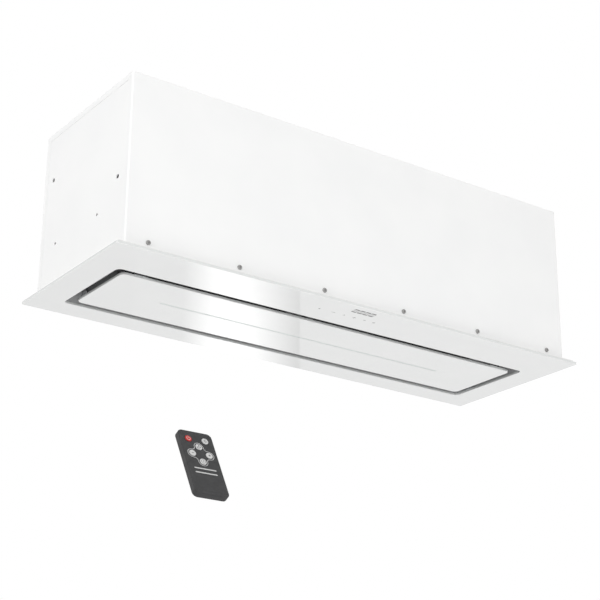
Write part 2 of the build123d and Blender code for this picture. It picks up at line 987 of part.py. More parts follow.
def filter_mesh(centre_x):
    """Pleated expanded-metal pad held in the frame's channel."""
    low, high = filter_levels()
    half_height = (high - low) / 2 - filter_wall - mesh_gap - pleat_sheet
    middle = (low + high) / 2
    half_span = filter_length / 2 - filter_wall - mesh_gap
    count = int(2 * half_span // pleat_pitch) * 2
    step = 2 * half_span / count
    ridge = [(-half_span + step * i, half_height * (1 if i % 2 else -1)) for i in range(count + 1)]
    upper = [(x, z + pleat_sheet) for x, z in ridge]
    lower = [(x, z - pleat_sheet) for x, z in reversed(ridge)]
    outline = make_face(Polyline(*upper, *lower, close=True))
    half_depth_mesh = filter_depth / 2 - filter_wall - mesh_gap
    front = opening_centre_y - half_depth_mesh
    plane = Plane(origin=(centre_x, front, middle), x_dir=(1, 0, 0), z_dir=(0, -1, 0))
    pad = extrude(plane * outline, -2 * half_depth_mesh)
    pocket_rear = filter_front() - latch_reach + latch_length + latch_travel + latch_gap
    half_block = latch_width / 2 + latch_block_margin + mesh_gap
    return pad - block(
        (centre_x - half_block, centre_x + half_block),
        (front - 1, pocket_rear + latch_block_margin + mesh_gap),
        (low, high),
    )


def filter_latch(centre_x):
    """Sliding tongue over the deck's edge, with a finger pad below the frame."""
    low, _ = filter_levels()
    front = filter_front()
    tip = front - latch_reach
    plate = block(
        (centre_x - latch_width / 2, centre_x + latch_width / 2),
        (tip, tip + latch_length),
        (deck_top, deck_top + tongue_thickness),
    )
    stem_front = front + latch_stem_inset
    stem = block(
        (centre_x - latch_stem_width / 2, centre_x + latch_stem_width / 2),
        (stem_front, stem_front + latch_stem_depth),
        (low - latch_pad_drop, deck_top + tongue_thickness),
    )
    middle = stem_front + latch_stem_depth / 2
    pad = slab(
        latch_pad_length,
        latch_pad_depth,
        latch_pad_corner,
        (low - latch_pad_drop, low - latch_pad_drop + latch_pad_height),
        (centre_x, middle),
    )
    return plate + stem + pad


# ================================================================ blower
def scroll_radii():
    """Radii of the scroll's four arcs, growing by one step every quarter turn."""
    return [scroll_tongue_radius + scroll_step * turn for turn in range(4)]


def outlet_limits():
    """Front and rear Y of the scroll's outlet."""
    first, _, _, last = scroll_radii()
    tongue = axis_y - scroll_step / 2 + first * math.cos(math.radians(scroll_tongue_angle))
    return tongue, axis_y + scroll_step / 2 + last


def outlet_y():
    """Y of the outlet's middle, which the duct collar shares."""
    return sum(outlet_limits()) / 2


def scroll_outline():
    """Inner outline of the scroll in Y and Z: four quarter-turn arcs about a square's corners."""
    radii = scroll_radii()
    half = scroll_step / 2
    start = scroll_tongue_angle
    tongue_arc = CenterArc((axis_y - half, axis_z + half), radii[0], start, 90 - start)
    front_arc = CenterArc((axis_y - half, axis_z - half), radii[1], 90, 90)
    lower_arc = CenterArc((axis_y + half, axis_z - half), radii[2], 180, 90)
    rear_arc = CenterArc((axis_y + half, axis_z + half), radii[3], 270, 90)
    tongue, rear = outlet_limits()
    rise = Line((rear, axis_z + half), (rear, top_inside))
    lid = Line((rear, top_inside), (tongue, top_inside))
    drop = Line((tongue, top_inside), tongue_arc @ 0)
    return make_face([tongue_arc, front_arc, lower_arc, rear_arc, rise, lid, drop])


def below(level):
    """A block that holds everything of the blower under one level."""
    return block((-half_length, half_length), (-half_depth, half_depth), (body_bottom, level))


def scroll_wall():
    """The scroll's curved wall."""
    half = scroll_width / 2
    inner = scroll_outline()
    outer = offset(inner, amount=scroll_sheet, kind=Kind.INTERSECTION)
    return (plate_x(outer, (-half, half)) - plate_x(inner, (-half - 1, half + 1))) & below(top_inside)


def capacitor_place():
    """Y and Z of the capacitor's stud on the left side plate."""
    angle = math.radians(capacitor_angle)
    return axis_y + capacitor_orbit * math.cos(angle), axis_z + capacitor_orbit * math.sin(angle)


def scroll_side(side):
    """One side plate of the scroll with its round inlet."""
    half = scroll_width / 2
    hole = inlet_radius + inlet_flare + inlet_hole_gap
    outline = offset(scroll_outline(), amount=scroll_rim, kind=Kind.INTERSECTION)
    outline -= Pos(axis_y, axis_z) * Circle(hole)
    if side < 0:
        outline -= Pos(*capacitor_place()) * Circle(capacitor_stud_radius + capacitor_stud_gap)
    plate = plate_x(outline, (side * half, side * (half + scroll_sheet)))
    return plate & below(top_inside - sheet)


def about_axis(profile):
    """Revolves a profile, drawn as distance along X and radius, about the blower's axis."""
    centre = Axis((0, axis_y, axis_z), (1, 0, 0))
    plane = Plane(origin=(0, axis_y, axis_z), x_dir=(1, 0, 0), z_dir=(0, -1, 0))
    return revolve(plane * profile, centre, 360)


def inlet_ring(side):
    """Flared inlet ring that leads the air into the impeller's eye."""
    face = scroll_width / 2 + scroll_sheet
    curl = inlet_radius + inlet_flare
    bend = (face + scroll_sheet - inlet_flare, curl)
    start = (face + scroll_sheet, curl)
    neck = bend[0] - inlet_neck
    cos45 = math.cos(math.radians(45))
    inner_r = inlet_flare - scroll_sheet
    outer_mid = (bend[0] + inlet_flare * cos45, curl - inlet_flare * cos45)
    inner_mid = (bend[0] + inner_r * cos45, curl - inner_r * cos45)
    edge = [
        Line((face + scroll_sheet, curl + inlet_flange), start),
        ThreePointArc(start, outer_mid, (bend[0], inlet_radius)),
        Line((bend[0], inlet_radius), (neck, inlet_radius)),
        Line((neck, inlet_radius), (neck, inlet_radius + scroll_sheet)),
        Line((neck, inlet_radius + scroll_sheet), (bend[0], inlet_radius + scroll_sheet)),
        ThreePointArc((bend[0], inlet_radius + scroll_sheet), inner_mid, (face, curl)),
        Line((face, curl), (face, curl + inlet_flange)),
        Line((face, curl + inlet_flange), (face + scroll_sheet, curl + inlet_flange)),
    ]
    ring = about_axis(make_face(edge))
    return ring if side > 0 else mirror(ring, Plane.YZ)


def blower_flange():
    """Frame round the scroll's outlet that fixes the blower under the housing's top."""
    tongue, rear = outlet_limits()
    half = scroll_width / 2
    level = (top_inside - sheet, top_inside)
    reach = outlet_flange_width + scroll_sheet
    outer = block((-half - reach, half + reach), (tongue - reach, rear + reach), level)
    inner = block(
        (-half, half), (tongue - scroll_sheet, rear + scroll_sheet), (level[0] - 1, level[1] + 1)
    )
    return outer - inner


def impeller():
    """Twin-inlet wheel: forward-curved blades through a middle disc, with end rings and a hub."""
    root = impeller_radius - blade_depth
    tip = impeller_radius - blade_tip_inset
    span = math.radians(blade_lead)
    root_point = Vector(root, 0)
    tip_point = Vector(tip * math.cos(span), tip * math.sin(span))
    along = (tip_point - root_point).normalized()
    across = Vector(along.Y, -along.X)
    shift = across * blade_thickness
    middle = (root_point + tip_point) * 0.5 + across * blade_bow
    blade = make_face(
        [
            ThreePointArc(root_point, middle, tip_point),
            Line(tip_point, tip_point + shift),
            ThreePointArc(tip_point + shift, middle + shift, root_point + shift),
            Line(root_point + shift, root_point),
        ]
    )
    half = impeller_width / 2
    blades = [
        extrude(Rot(0, 0, 360 / blade_count * turn) * blade, half, both=True)
        for turn in range(blade_count)
    ]
    disc = Cylinder(impeller_radius, end_ring_thickness)
    ring_sketch = Circle(impeller_radius) - Circle(impeller_radius - end_ring_depth)
    low_ring = extrude(Pos(0, 0, -half) * ring_sketch, end_ring_thickness)
    high_ring = extrude(Pos(0, 0, half - end_ring_thickness) * ring_sketch, end_ring_thickness)
    hub = Pos(0, 0, hub_offset) * Cylinder(hub_radius, hub_length)
    wheel = disc + low_ring + high_ring + hub + blades
    wheel -= Cylinder(shaft_radius + shaft_seat_gap, 4 * hub_length)
    return Pos(0, axis_y, axis_z) * Rot(0, 90, 0) * wheel


def motor_limits():
    """X limits of the motor's body, from beside the hub to its bracket."""
    return (
        hub_offset + hub_length / 2 + motor_hub_gap,
        scroll_width / 2 + 2 * scroll_sheet,
    )


def rotor_shaft():
    """Shaft from the motor through the impeller's hub."""
    start = hub_offset - hub_length / 2 - shaft_tip
    return rod_x(shaft_radius, (start, start + shaft_length), axis_y, axis_z)


def motor():
    """Motor body with rounded shoulders, a nose boss and the bore for its shaft."""
    low, high = motor_limits()
    body = rod_x(motor_radius, (low, high), axis_y, axis_z)
    body = fillet(edges_at(body, Axis.X, low), motor_edge)
    body += rod_x(motor_boss_radius, (low - motor_boss_height, low + 1), axis_y, axis_z)
    bore_end = hub_offset - hub_length / 2 - shaft_tip + shaft_length + shaft_end_gap
    return body - rod_x(shaft_radius + shaft_running_gap, (low - 2 * motor_boss_height, bore_end), axis_y, axis_z)


def motor_bracket():
    """Three-armed bracket that carries the motor from the right side plate."""
    outline = Circle(motor_radius)
    for turn in range(3):
        arm = Pos(bracket_arm_reach / 2, 0) * Rectangle(bracket_arm_reach, bracket_arm_width)
        tip = Pos(bracket_arm_reach, 0) * Circle(bracket_arm_width / 2)
        outline += Rot(0, 0, 90 + 120 * turn) * (arm + tip)
    low = scroll_width / 2 + 2 * scroll_sheet
    bracket = plate_x(Pos(axis_y, axis_z) * outline, (low, low + bracket_thickness))
    for turn in range(3):
        foot = Rot(0, 0, 90 + 120 * turn) * (Pos(bracket_arm_reach, 0) * Circle(bracket_arm_width / 2))
        bracket += plate_x(Pos(axis_y, axis_z) * foot, (low - scroll_sheet, low))
    return bracket


def run_capacitor():
    """Motor capacitor standing on the left side plate by its stud and nut."""
    y, z = capacitor_place()
    face = -scroll_width / 2 - scroll_sheet
    inside = -scroll_width / 2
    can = rod_x(capacitor_radius, (face - capacitor_length, face), y, z)
    can = fillet(edges_at(can, Axis.X, face - capacitor_length), capacitor_edge)
    stud_end = inside + capacitor_nut_height + capacitor_stud_proud
    can += rod_x(capacitor_stud_radius, (face, stud_end), y, z)
    nut = Pos(y, z) * RegularPolygon(capacitor_nut_radius, 6)
    can += plate_x(nut, (inside, inside + capacitor_nut_height))
    return can


# ================================================================ duct outlet
def duct_collar():
    """Round duct collar on a square plate, with a bevelled mouth and a seat for the flaps."""
    y = outlet_y()
    base = slab(
        2 * (duct_radius + duct_plate_side),
        2 * (duct_radius + duct_plate_front),
        duct_plate_corner,
        (body_top, body_top + duct_plate),
        (0, y),
    )
    mouth = body_top + duct_height
    tube = rod_z(duct_radius, (body_top, mouth), 0, y)
    tube = chamfer(edges_at(tube, Axis.Z, mouth), duct_lead_in)
    bore = rod_z(duct_radius - duct_wall, (body_top - 1, mouth + 1), 0, y)
    seat_z = body_top + flap_seat_height
    seat = rod_z(duct_radius - duct_wall / 2, (seat_z - duct_wall, seat_z), 0, y)
    seat -= rod_z(duct_radius - duct_wall - flap_seat_width, (seat_z - 2, seat_z + 1), 0, y)
    collar = base + tube - bore + seat
    reach = (-duct_radius - 1, duct_radius + 1)
    return collar - rod_x(spindle_radius + shaft_seat_gap, reach, y, spindle_z())


def spindle_z():
    """Height of the flaps' spindle."""
    return body_top + flap_seat_height + spindle_rise


def flap_spindle():
    """Rod across the collar on which both flaps turn."""
    reach = duct_radius - duct_wall / 2
    return rod_x(spindle_radius, (-reach, reach), outlet_y(), spindle_z())


def knuckle_spans(side):
    """X spans of one flap's knuckles; the front flap has the outer four, the rear flap the inner ones."""
    step = knuckle_length + knuckle_gap
    first = -2.5 * step
    spans = [
        (first + step * slot + knuckle_gap / 2, first + step * (slot + 1) - knuckle_gap / 2)
        for slot in range(5)
    ]
    return spans[0::2] if side < 0 else spans[1::2]


def flap(side):
    """Half-round flap that lies on the collar's seat and swings up round the spindle."""
    y = outlet_y()
    level = (body_top + flap_seat_height, body_top + flap_seat_height + flap_thickness)
    radius = duct_radius - duct_wall - flap_edge_gap
    leaf = rod_z(radius, level, 0, y)
    keep = sorted((y + side * flap_split, y + side * (duct_radius + 1)))
    leaf = leaf & block((-duct_radius, duct_radius), keep, level)
    own = knuckle_spans(side)
    for span in knuckle_spans(-side):
        ends = (span[0] - knuckle_gap, span[1] + knuckle_gap)
        clear = sorted((y, y + side * (knuckle_radius + knuckle_gap)))
        leaf -= block(ends, clear, (level[0] - 1, level[1] + 1))
    for span in own:
        leaf += rod_x(knuckle_radius, span, y, spindle_z())
        web = sorted((y, y + side * (flap_split + flap_web_lap)))
        leaf += block(span, web, level)
    reach = (-duct_radius, duct_radius)
    return leaf - rod_x(spindle_radius + spindle_running_gap, reach, y, spindle_z())


# ================================================================ electrics
def control_box():
    """Box under the housing's top for the control board, open below, with four bosses inside."""
    level = (top_inside - box_height, top_inside)
    centre = (box_centre_x, 0)
    shell = slab(box_length, box_depth, box_corner, level, centre)
    shell -= slab(
        box_length - 2 * box_wall,
        box_depth - 2 * box_wall,
        box_corner - box_wall,
        (level[0] - 1, level[1] - box_wall),
        centre,
    )
    for x, y in board_corners():
        shell += rod_z(boss_radius, (top_inside - boss_drop, top_inside - box_wall), x, y)
    hole_z = (level[1] - 2 * box_wall, level[1] + 1)
    return shell - rod_z(gland_radius + gland_hole_gap, hole_z, box_centre_x, 0)


def board_corners():
    """Centres of the control box's bosses."""
    reach_x = box_length / 2 - boss_inset
    reach_y = box_depth / 2 - boss_inset
    return [(box_centre_x + sx * reach_x, sy * reach_y) for sx in (-1, 1) for sy in (-1, 1)]


def control_lid():
    """Lid closing the control box from below, with a rim inside it."""
    low = top_inside - box_height
    centre = (box_centre_x, 0)
    outside = 2 * (box_wall + lid_gap)
    inside = outside + 2 * box_wall
    high = low + lid_rim
    lid = slab(box_length, box_depth, box_corner, (low - box_wall, low), centre)
    rim = slab(box_length - outside, box_depth - outside, box_corner / 2, (low, high), centre)
    hollow = slab(box_length - inside, box_depth - inside, box_corner / 4, (low, high + 1), centre)
    return lid + (rim - hollow)


def control_board():
    """Circuit board on the bosses, with its transformer, relays and terminal block."""
    high = top_inside - boss_drop
    length = box_length - boss_inset
    depth = box_depth - boss_inset
    left = box_centre_x - length / 2 + part_inset
    right = box_centre_x + length / 2 - terminal_inset
    front = -depth / 2 + transformer_front_inset
    board = slab(length, depth, board_corner, (high - board_thickness, high), (box_centre_x, 0))
    board += block(
        (left, left + transformer_size),
        (front, front + transformer_size),
        (high, high + transformer_height),
    )
    board += block(
        (right - terminal_width, right),
        (-terminal_length / 2, terminal_length / 2),
        (high, high + terminal_height),
    )
    for row in range(relay_count):
        y = relay_start + relay_pitch * row
        board += block((left, left + relay_length), (y, y + relay_depth), (high, high + relay_height))
    return board


def cable_gland():
    """Cable gland through the housing's top and the control box, with its locknut inside."""
    base = Pos(box_centre_x, 0, body_top) * RegularPolygon(gland_hex, 6)
    body = extrude(base, gland_base_height)
    cap_low = body_top + gland_base_height
    cap_high = cap_low + gland_cap_height
    cap = rod_z(gland_hex * math.cos(math.pi / 6), (cap_low, cap_high), box_centre_x, 0)
    cap = fillet(edges_at(cap, Axis.Z, cap_high), gland_cap_edge)
    barrel = rod_z(gland_radius, (body_top - gland_barrel, body_top), box_centre_x, 0)
    bore_z = (body_top - gland_barrel - 1, cap_high + 1)
    body = body + cap + barrel - rod_z(gland_bore, bore_z, box_centre_x, 0)
    nut_high = top_inside - box_wall
    nut_low = nut_high - gland_nut_height
    nut = extrude(Pos(box_centre_x, 0, nut_low) * RegularPolygon(gland_hex, 6), gland_nut_height)
    nut -= rod_z(gland_radius + screw_hole_gap, (nut_low - 1, nut_high + 1), box_centre_x, 0)
    return Compound(children=[body, nut])


def led_driver():
    """Supply for the light line, held under the housing's top by two ears."""
    level = (top_inside - driver_height, top_inside)
    case = slab(driver_length, driver_depth, driver_corner, level, (driver_x, 0))
    ear_level = (top_inside - driver_ear_thickness, top_inside)
    ear_span = driver_length + 2 * driver_ear
    ears = slab(ear_span, driver_depth / 2, driver_ear_corner, ear_level, (driver_x, 0))
    driver = case + ears
    for side in (-1, 1):
        x = driver_x + side * (driver_length + driver_ear) / 2
        driver -= rod_z(driver_hole_radius, (ear_level[0] - 1, top_inside + 1), x, 0)
    return driver


# ================================================================ remote control
# The remote is drawn lying flat: its length along Y, the key face up, its mid-plane at Z = 0.
def remote_location():
    """Where the remote stands by itself under the hood, its key face tilted towards the front."""
    return Location((remote_x, remote_y, remote_z), (remote_tilt, 0, 0))


def remote_slab(inset, z_limits, y_limits=(-remote_length, remote_length)):
    """The remote's rounded outline, drawn in by an inset, between two levels and two cross cuts."""
    body = slab(remote_width - 2 * inset, remote_length - 2 * inset, remote_corner - inset, z_limits)
    return body & block((-remote_width, remote_width), y_limits, z_limits)


def remote_shell_end():
    """Y where the two case halves end and the battery tray's cap begins."""
    return -remote_length / 2 + remote_cap + remote_cap_gap


def key_places():
    """Name and place of each key on the remote."""
    return {
        "power": (-key_offset, power_y),
        "light": (key_offset, power_y),
        "up": (0.0, pad_y + key_offset),
        "left": (-key_offset, pad_y),
        "right": (key_offset, pad_y),
        "down": (0.0, pad_y - key_offset),
    }


def remote_front_case():
    """Upper half of the remote's case with six round key holes."""
    half = remote_thickness / 2
    full = slab(remote_width, remote_length, remote_corner, (0, half))
    full = fillet(edges_at(full, Axis.Z, half), remote_edge)
    keep = block((-remote_width, remote_width), (remote_shell_end(), remote_length), (0, half))
    shell = full & keep
    inside_y = (remote_shell_end() + remote_skin, remote_length)
    shell -= remote_slab(remote_skin, (-1, half - remote_skin), inside_y)
    for x, y in key_places().values():
        shell -= rod_z(key_radius + key_gap, (0, half + 1), x, y)
    return shell


def remote_back_case():
    """Lower half of the case with posts for the board and rails for the battery tray."""
    half = remote_thickness / 2
    full = slab(remote_width, remote_length, remote_corner, (-half, 0))
    full = fillet(edges_at(full, Axis.Z, -half), remote_edge)
    shell = full & block((-remote_width, remote_width), (remote_shell_end(), remote_length), (-half, 0))
    floor = -half + remote_back_skin
    shell -= remote_slab(remote_skin, (floor, 1), (remote_shell_end() + remote_skin, remote_length))
    for x, y in remote_posts():
        shell += rod_z(remote_post_radius, (floor - remote_root, 0), x, y)
    rail_x = (tray_width / 2 + tray_side_gap, tray_width / 2 + tray_side_gap + tray_rib)
    rail_y = (remote_shell_end(), tray_end + tray_end_gap)
    for side in (-1, 1):
        shell += mirrored_block(side, rail_x, rail_y, (floor - remote_root, floor + tray_height))
    slot = block(
        (-tray_width / 2 - tray_side_gap, tray_width / 2 + tray_side_gap),
        (remote_shell_end() - 1, remote_shell_end() + 2 * remote_skin),
        (floor, floor + tray_height + tray_side_gap),
    )
    return shell - slot


def remote_posts():
    """Centres of the posts that carry the remote's board."""
    reach = remote_width / 2 - remote_post_inset
    rows = (tray_end + remote_post_front, remote_length / 2 - remote_post_rear)
    return [(side * reach, y) for side in (-1, 1) for y in rows]


def remote_board():
    """The remote's circuit board with a snap dome under each key."""
    half_width = remote_width / 2 - remote_skin - remote_board_side_gap
    rear = remote_length / 2 - remote_skin - remote_board_end_gap
    board = block(
        (-half_width, half_width), (tray_end + remote_board_tray_gap, rear), (0, remote_board_thickness)
    )
    dome_z = (remote_board_thickness, remote_board_thickness + remote_dome_height)
    for x, y in key_places().values():
        board += rod_z(remote_dome_radius, dome_z, x, y)
    return board


def remote_key(place):
    """One domed key with the flange that keeps it in the case."""
    x, y = place
    skin = remote_thickness / 2 - remote_skin
    high = remote_thickness / 2 + key_proud
    cap = rod_z(key_radius, (skin, high), x, y)
    cap = fillet(edges_at(cap, Axis.Z, high), key_edge)
    return cap + rod_z(key_radius + key_flange, (skin - key_flange_thickness, skin), x, y)


def battery_tray():
    """Pull-out tray with a round pocket, its cap forming the remote's lower end."""
    half = remote_thickness / 2
    floor = -half + remote_back_skin
    cap = slab(remote_width, remote_length, remote_corner, (-half, half))
    cap = fillet(edges_at(cap, Axis.Z, half) + edges_at(cap, Axis.Z, -half), remote_edge)
    end = -remote_length / 2
    cap = cap & block((-remote_width, remote_width), (end - 1, end + remote_cap), (-half, half))
    slide = block(
        (-tray_width / 2, tray_width / 2),
        (end + remote_cap - tray_root, tray_end),
        (floor, floor + tray_height),
    )
    x, y = cell_place()
    pocket = rod_z(cell_radius + cell_gap, (floor + tray_floor, floor + tray_height + 1), x, y)
    return cap + slide - pocket


def cell_place():
    """Centre of the coin cell in the tray."""
    return 0.0, tray_end - cell_radius - cell_end_wall


def coin_cell():
    """Coin cell in the tray's pocket."""
    low = -remote_thickness / 2 + remote_back_skin + tray_floor
    x, y = cell_place()
    cell = rod_z(cell_radius, (low, low + cell_thickness), x, y)
    return fillet(edges_at(cell, Axis.Z, low), cell_edge)


# ================================================================ all nodes
def all_nodes():
    """Every node's name and shape."""
    nodes = {
        "housing_wrap": housing_wrap(),
        "housing_back_top": housing_back_top(),
        "housing_screws": housing_screws(),
        "clinch_nuts": clinch_nuts(),
        "hanging_brackets": hanging_brackets(),
        "base_frame": base_frame(),
        "ceiling_seal": ceiling_seal(),
        "flange_glass": flange_glass(),
        "touch_holder": touch_holder(),
        "touch_board": touch_board(),
        "display_module": display_module(),
        "recess_tray": recess_tray(),
        "front_corner_covers": front_corner_covers(),
        "magnet_catches": magnet_catches(),
        "hinge_brackets": hinge_brackets(),
        "hinge_pins": hinge_pins(),
        "panel_glass": panel_glass(),
        "panel_pan": panel_pan(),
        "hinge_ears": hinge_ears(),
        "strike_plates": strike_plates(),
        "led_profile": led_profile(),
        "led_strip": led_strip(),
        "led_diffuser": led_diffuser(),
        "scroll_wall": scroll_wall(),
        "scroll_side_left": scroll_side(-1),
        "scroll_side_right": scroll_side(1),
        "inlet_ring_left": inlet_ring(-1),
        "inlet_ring_right": inlet_ring(1),
        "blower_flange": blower_flange(),
        "impeller": impeller(),
        "rotor_shaft": rotor_shaft(),
        "motor": motor(),
        "motor_bracket": motor_bracket(),
        "run_capacitor": run_capacitor(),
        "duct_collar": duct_collar(),
        "flap_spindle": flap_spindle(),
        "flap_front": flap(-1),
        "flap_rear": flap(1),
        "control_box": control_box(),
        "control_lid": control_lid(),
        "control_board": control_board(),
        "cable_gland": cable_gland(),
        "led_driver": led_driver(),
    }
    for name, x in zip(("left", "right"), filter_centres()):
        nodes[f"filter_frame_{name}"] = filter_frame(x)
        nodes[f"filter_mesh_{name}"] = filter_mesh(x)
        nodes[f"filter_latch_{name}"] = filter_latch(x)
    place = remote_location()
    nodes["remote_front_case"] = place * remote_front_case()
    nodes["remote_back_case"] = place * remote_back_case()
    nodes["remote_board"] = place * remote_board()
    nodes["battery_tray"] = place * battery_tray()
    nodes["coin_cell"] = place * coin_cell()
    for name, key_place in key_places().items():
        nodes[f"remote_key_{name}"] = place * remote_key(key_place)
    return nodes


os.makedirs("parts", exist_ok=True)
for node_name, shape in all_nodes().items():
    export_step(shape, f"parts/{node_name}.step")
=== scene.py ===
"""Ceiling range hood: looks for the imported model.

Metres, +X along the hood, the touch keys on the -Y side, +Z up. The ceiling's underside is at Z = 0.
The scale of a noise or of cells is in repeats per metre.
"""

import math

import bmesh
import bpy
from mathutils import Matrix, Vector


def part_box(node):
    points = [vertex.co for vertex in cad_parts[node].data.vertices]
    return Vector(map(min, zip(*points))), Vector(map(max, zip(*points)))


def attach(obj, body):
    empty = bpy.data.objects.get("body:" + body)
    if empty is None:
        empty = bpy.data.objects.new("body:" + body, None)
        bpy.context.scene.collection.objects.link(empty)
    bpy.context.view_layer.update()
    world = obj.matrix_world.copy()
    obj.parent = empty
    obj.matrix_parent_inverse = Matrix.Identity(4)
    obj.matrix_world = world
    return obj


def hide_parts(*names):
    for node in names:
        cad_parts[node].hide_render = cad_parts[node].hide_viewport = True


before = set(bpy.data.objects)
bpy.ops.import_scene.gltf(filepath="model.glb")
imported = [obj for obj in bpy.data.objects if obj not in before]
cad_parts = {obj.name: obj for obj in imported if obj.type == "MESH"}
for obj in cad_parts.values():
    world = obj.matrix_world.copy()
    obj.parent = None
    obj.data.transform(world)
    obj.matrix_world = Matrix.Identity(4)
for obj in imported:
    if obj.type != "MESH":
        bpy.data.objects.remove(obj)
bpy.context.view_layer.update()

# ---------------------------------------------------------------- studio
# A pale floor far below the hood, large soft lamps and a white surround that mirrors also see.
# The camera stands low in front of the hood's left end and looks up at it, as in the photograph.
camera_place = Vector((-1.3830, -1.9153, -0.8533))
camera_forward = Vector((0.53927, 0.76171, 0.35914))
camera_up = Vector((-0.21359, -0.28881, 0.93326))
camera_lens, camera_sensor = 91.93, 36.0
camera_near, camera_far = 0.05, 60.0
white = (1, 1, 1, 1)
surround_strength, fill_strength = 1.0, 0.58
floor_level, floor_size = -3.4, 24.0
floor_grey, floor_roughness = (0.86, 0.86, 0.86, 1), 0.9
floor_whitened = 0.85

camera_data = bpy.data.cameras.new("camera")
camera_data.lens = camera_lens
camera_data.sensor_width = camera_sensor
camera_data.clip_start = camera_near
camera_data.clip_end = camera_far
camera = bpy.data.objects.new("camera", camera_data)
bpy.context.scene.collection.objects.link(camera)
camera_right = camera_forward.cross(camera_up).normalized()
camera_turn = Matrix((camera_right, camera_up, -camera_forward)).transposed()
camera.matrix_world = Matrix.Translation(camera_place) @ camera_turn.to_4x4()
bpy.context.scene.camera = camera
bpy.context.scene.view_settings.view_transform = "Standard"


def new_finish(name):
    """A fresh node material with its tree and its main shader."""
    finish = bpy.data.materials.new(name)
    finish.use_nodes = True
    return finish, finish.node_tree, finish.node_tree.nodes["Principled BSDF"]


def add(tree, kind, inputs, **settings):
    """Adds a node, sets it up, and fills its inputs with values or with other nodes' sockets."""
    made = tree.nodes.new("ShaderNode" + kind)
    for key, value in settings.items():
        setattr(made, key, value)
    for key, value in inputs.items():
        if isinstance(value, bpy.types.NodeSocket):
            tree.links.new(value, made.inputs[key])
        else:
            made.inputs[key].default_value = value
    return made


def spread(tree, value, low, high, from_low=0.0, from_high=1.0):
    """Maps a value from one range to another, held inside the new range."""
    ranges = {"Value": value, "From Min": from_low, "From Max": from_high, "To Min": low, "To Max": high}
    return add(tree, "MapRange", ranges, clamp=True).outputs[0]


def place_on(tree):
    """The piece's own coordinates, in metres."""
    return tree.nodes.new("ShaderNodeTexCoord").outputs["Object"]


def seen_directly(tree):
    """A value that is 1 for camera, mirror and see-through rays and 0 for the light that falls on things."""
    rays = add(tree, "LightPath", {}).outputs
    either = add(tree, "Math", {0: rays["Is Camera Ray"], 1: rays["Is Glossy Ray"]}, operation="MAXIMUM")
    any_of = add(tree, "Math", {0: either.outputs[0], 1: rays["Is Transmission Ray"]}, operation="MAXIMUM")
    return any_of.outputs[0]


world = bpy.data.worlds.new("studio")
world.use_nodes = True
bpy.context.scene.world = world
tree = world.node_tree
tree.nodes.clear()
fill = add(tree, "Background", {"Color": white, "Strength": fill_strength})
surround = add(tree, "Background", {"Color": white, "Strength": surround_strength})
both = add(tree, "MixShader", {0: seen_directly(tree), 1: fill.outputs[0], 2: surround.outputs[0]})
add(tree, "OutputWorld", {"Surface": both.outputs[0]})

bpy.ops.mesh.primitive_plane_add(size=floor_size, location=(0, 0, floor_level))
floor = bpy.context.object
floor.name = "floor"
floor_paint, tree, matt = new_finish("floor_paint")
matt.inputs["Base Color"].default_value = floor_grey
matt.inputs["Roughness"].default_value = floor_roughness
glow = add(tree, "Emission", {"Color": white})
seen = add(tree, "Math", {0: seen_directly(tree), 1: floor_whitened}, operation="MULTIPLY")
both = add(tree, "MixShader", {0: seen.outputs[0], 1: matt.outputs[0], 2: glow.outputs[0]})
tree.links.new(both.outputs[0], tree.nodes["Material Output"].inputs["Surface"])
floor.data.materials.append(floor_paint)


def soft_lamp(name, place, target, size, power):
    """A large square lamp aimed at a point, hidden from the camera and from mirrors."""
    data = bpy.data.lights.new(name, "AREA")
    data.shape = "SQUARE"
    data.size = size
    data.energy = power
    lamp = bpy.data.objects.new(name, data)
    bpy.context.scene.collection.objects.link(lamp)
    aim = (Vector(target) - Vector(place)).to_track_quat("-Z", "Y")
    lamp.matrix_world = Matrix.Translation(place) @ aim.to_matrix().to_4x4()
    lamp.visible_camera = False
    lamp.visible_glossy = False


soft_lamp("lamp_front", place=(-0.6, -3.6, 0.4), target=(0, 0, 0.1), size=2.6, power=42)
soft_lamp("lamp_left", place=(-3.4, -0.6, 0.5), target=(0, 0, 0.1), size=2.4, power=46)
soft_lamp("lamp_below", place=(0.2, -1.2, -2.6), target=(0, 0, 0), size=2.6, power=28)
soft_lamp("lamp_above", place=(0.5, 0.6, 3.6), target=(0, 0, 0.2), size=3.0, power=38)

# A tall bright card far behind the hood, seen only in reflections: it leaves the soft band on the glass.
card_left, card_right = -0.70, 0.0
card_low, card_high = -2.2, -0.6
card_distance = 6.0
card_glow, card_end_glow = 2.6, 0.42
card_rise, card_fall = (-0.2, 0.01), (0.16, 0.5)

level_forward = Vector((camera_forward.x, camera_forward.y, 0)).normalized()
level_right = Vector((level_forward.y, -level_forward.x, 0))
card_middle = camera_place + card_distance * level_forward + (card_left + card_right) / 2 * level_right
bpy.ops.mesh.primitive_plane_add(size=1)
card = bpy.context.object
card.name = "reflection_card"
card_turn = Matrix((level_right, Vector((0, 0, 1)), -level_forward)).transposed().to_4x4()
card_size = Matrix.Diagonal((card_right - card_left, card_high - card_low, 1, 1))
card_place = Vector((card_middle.x, card_middle.y, (card_low + card_high) / 2))
card.matrix_world = Matrix.Translation(card_place) @ card_turn @ card_size
for sight in ("camera", "diffuse", "transmission", "volume_scatter", "shadow"):
    setattr(card, f"visible_{sight}", False)
card_light, tree, unused_shader = new_finish("card_light")
tree.nodes.remove(unused_shader)
across = add(tree, "SeparateXYZ", {0: place_on(tree)}).outputs["X"]
rise = spread(tree, across, surround_strength, card_glow, *card_rise)
fall = spread(tree, across, card_glow, card_end_glow, *card_fall)
lower = add(tree, "Math", {0: rise, 1: fall}, operation="MINIMUM")
glow = add(tree, "Emission", {"Strength": lower.outputs[0]})
tree.links.new(glow.outputs[0], tree.nodes["Material Output"].inputs["Surface"])
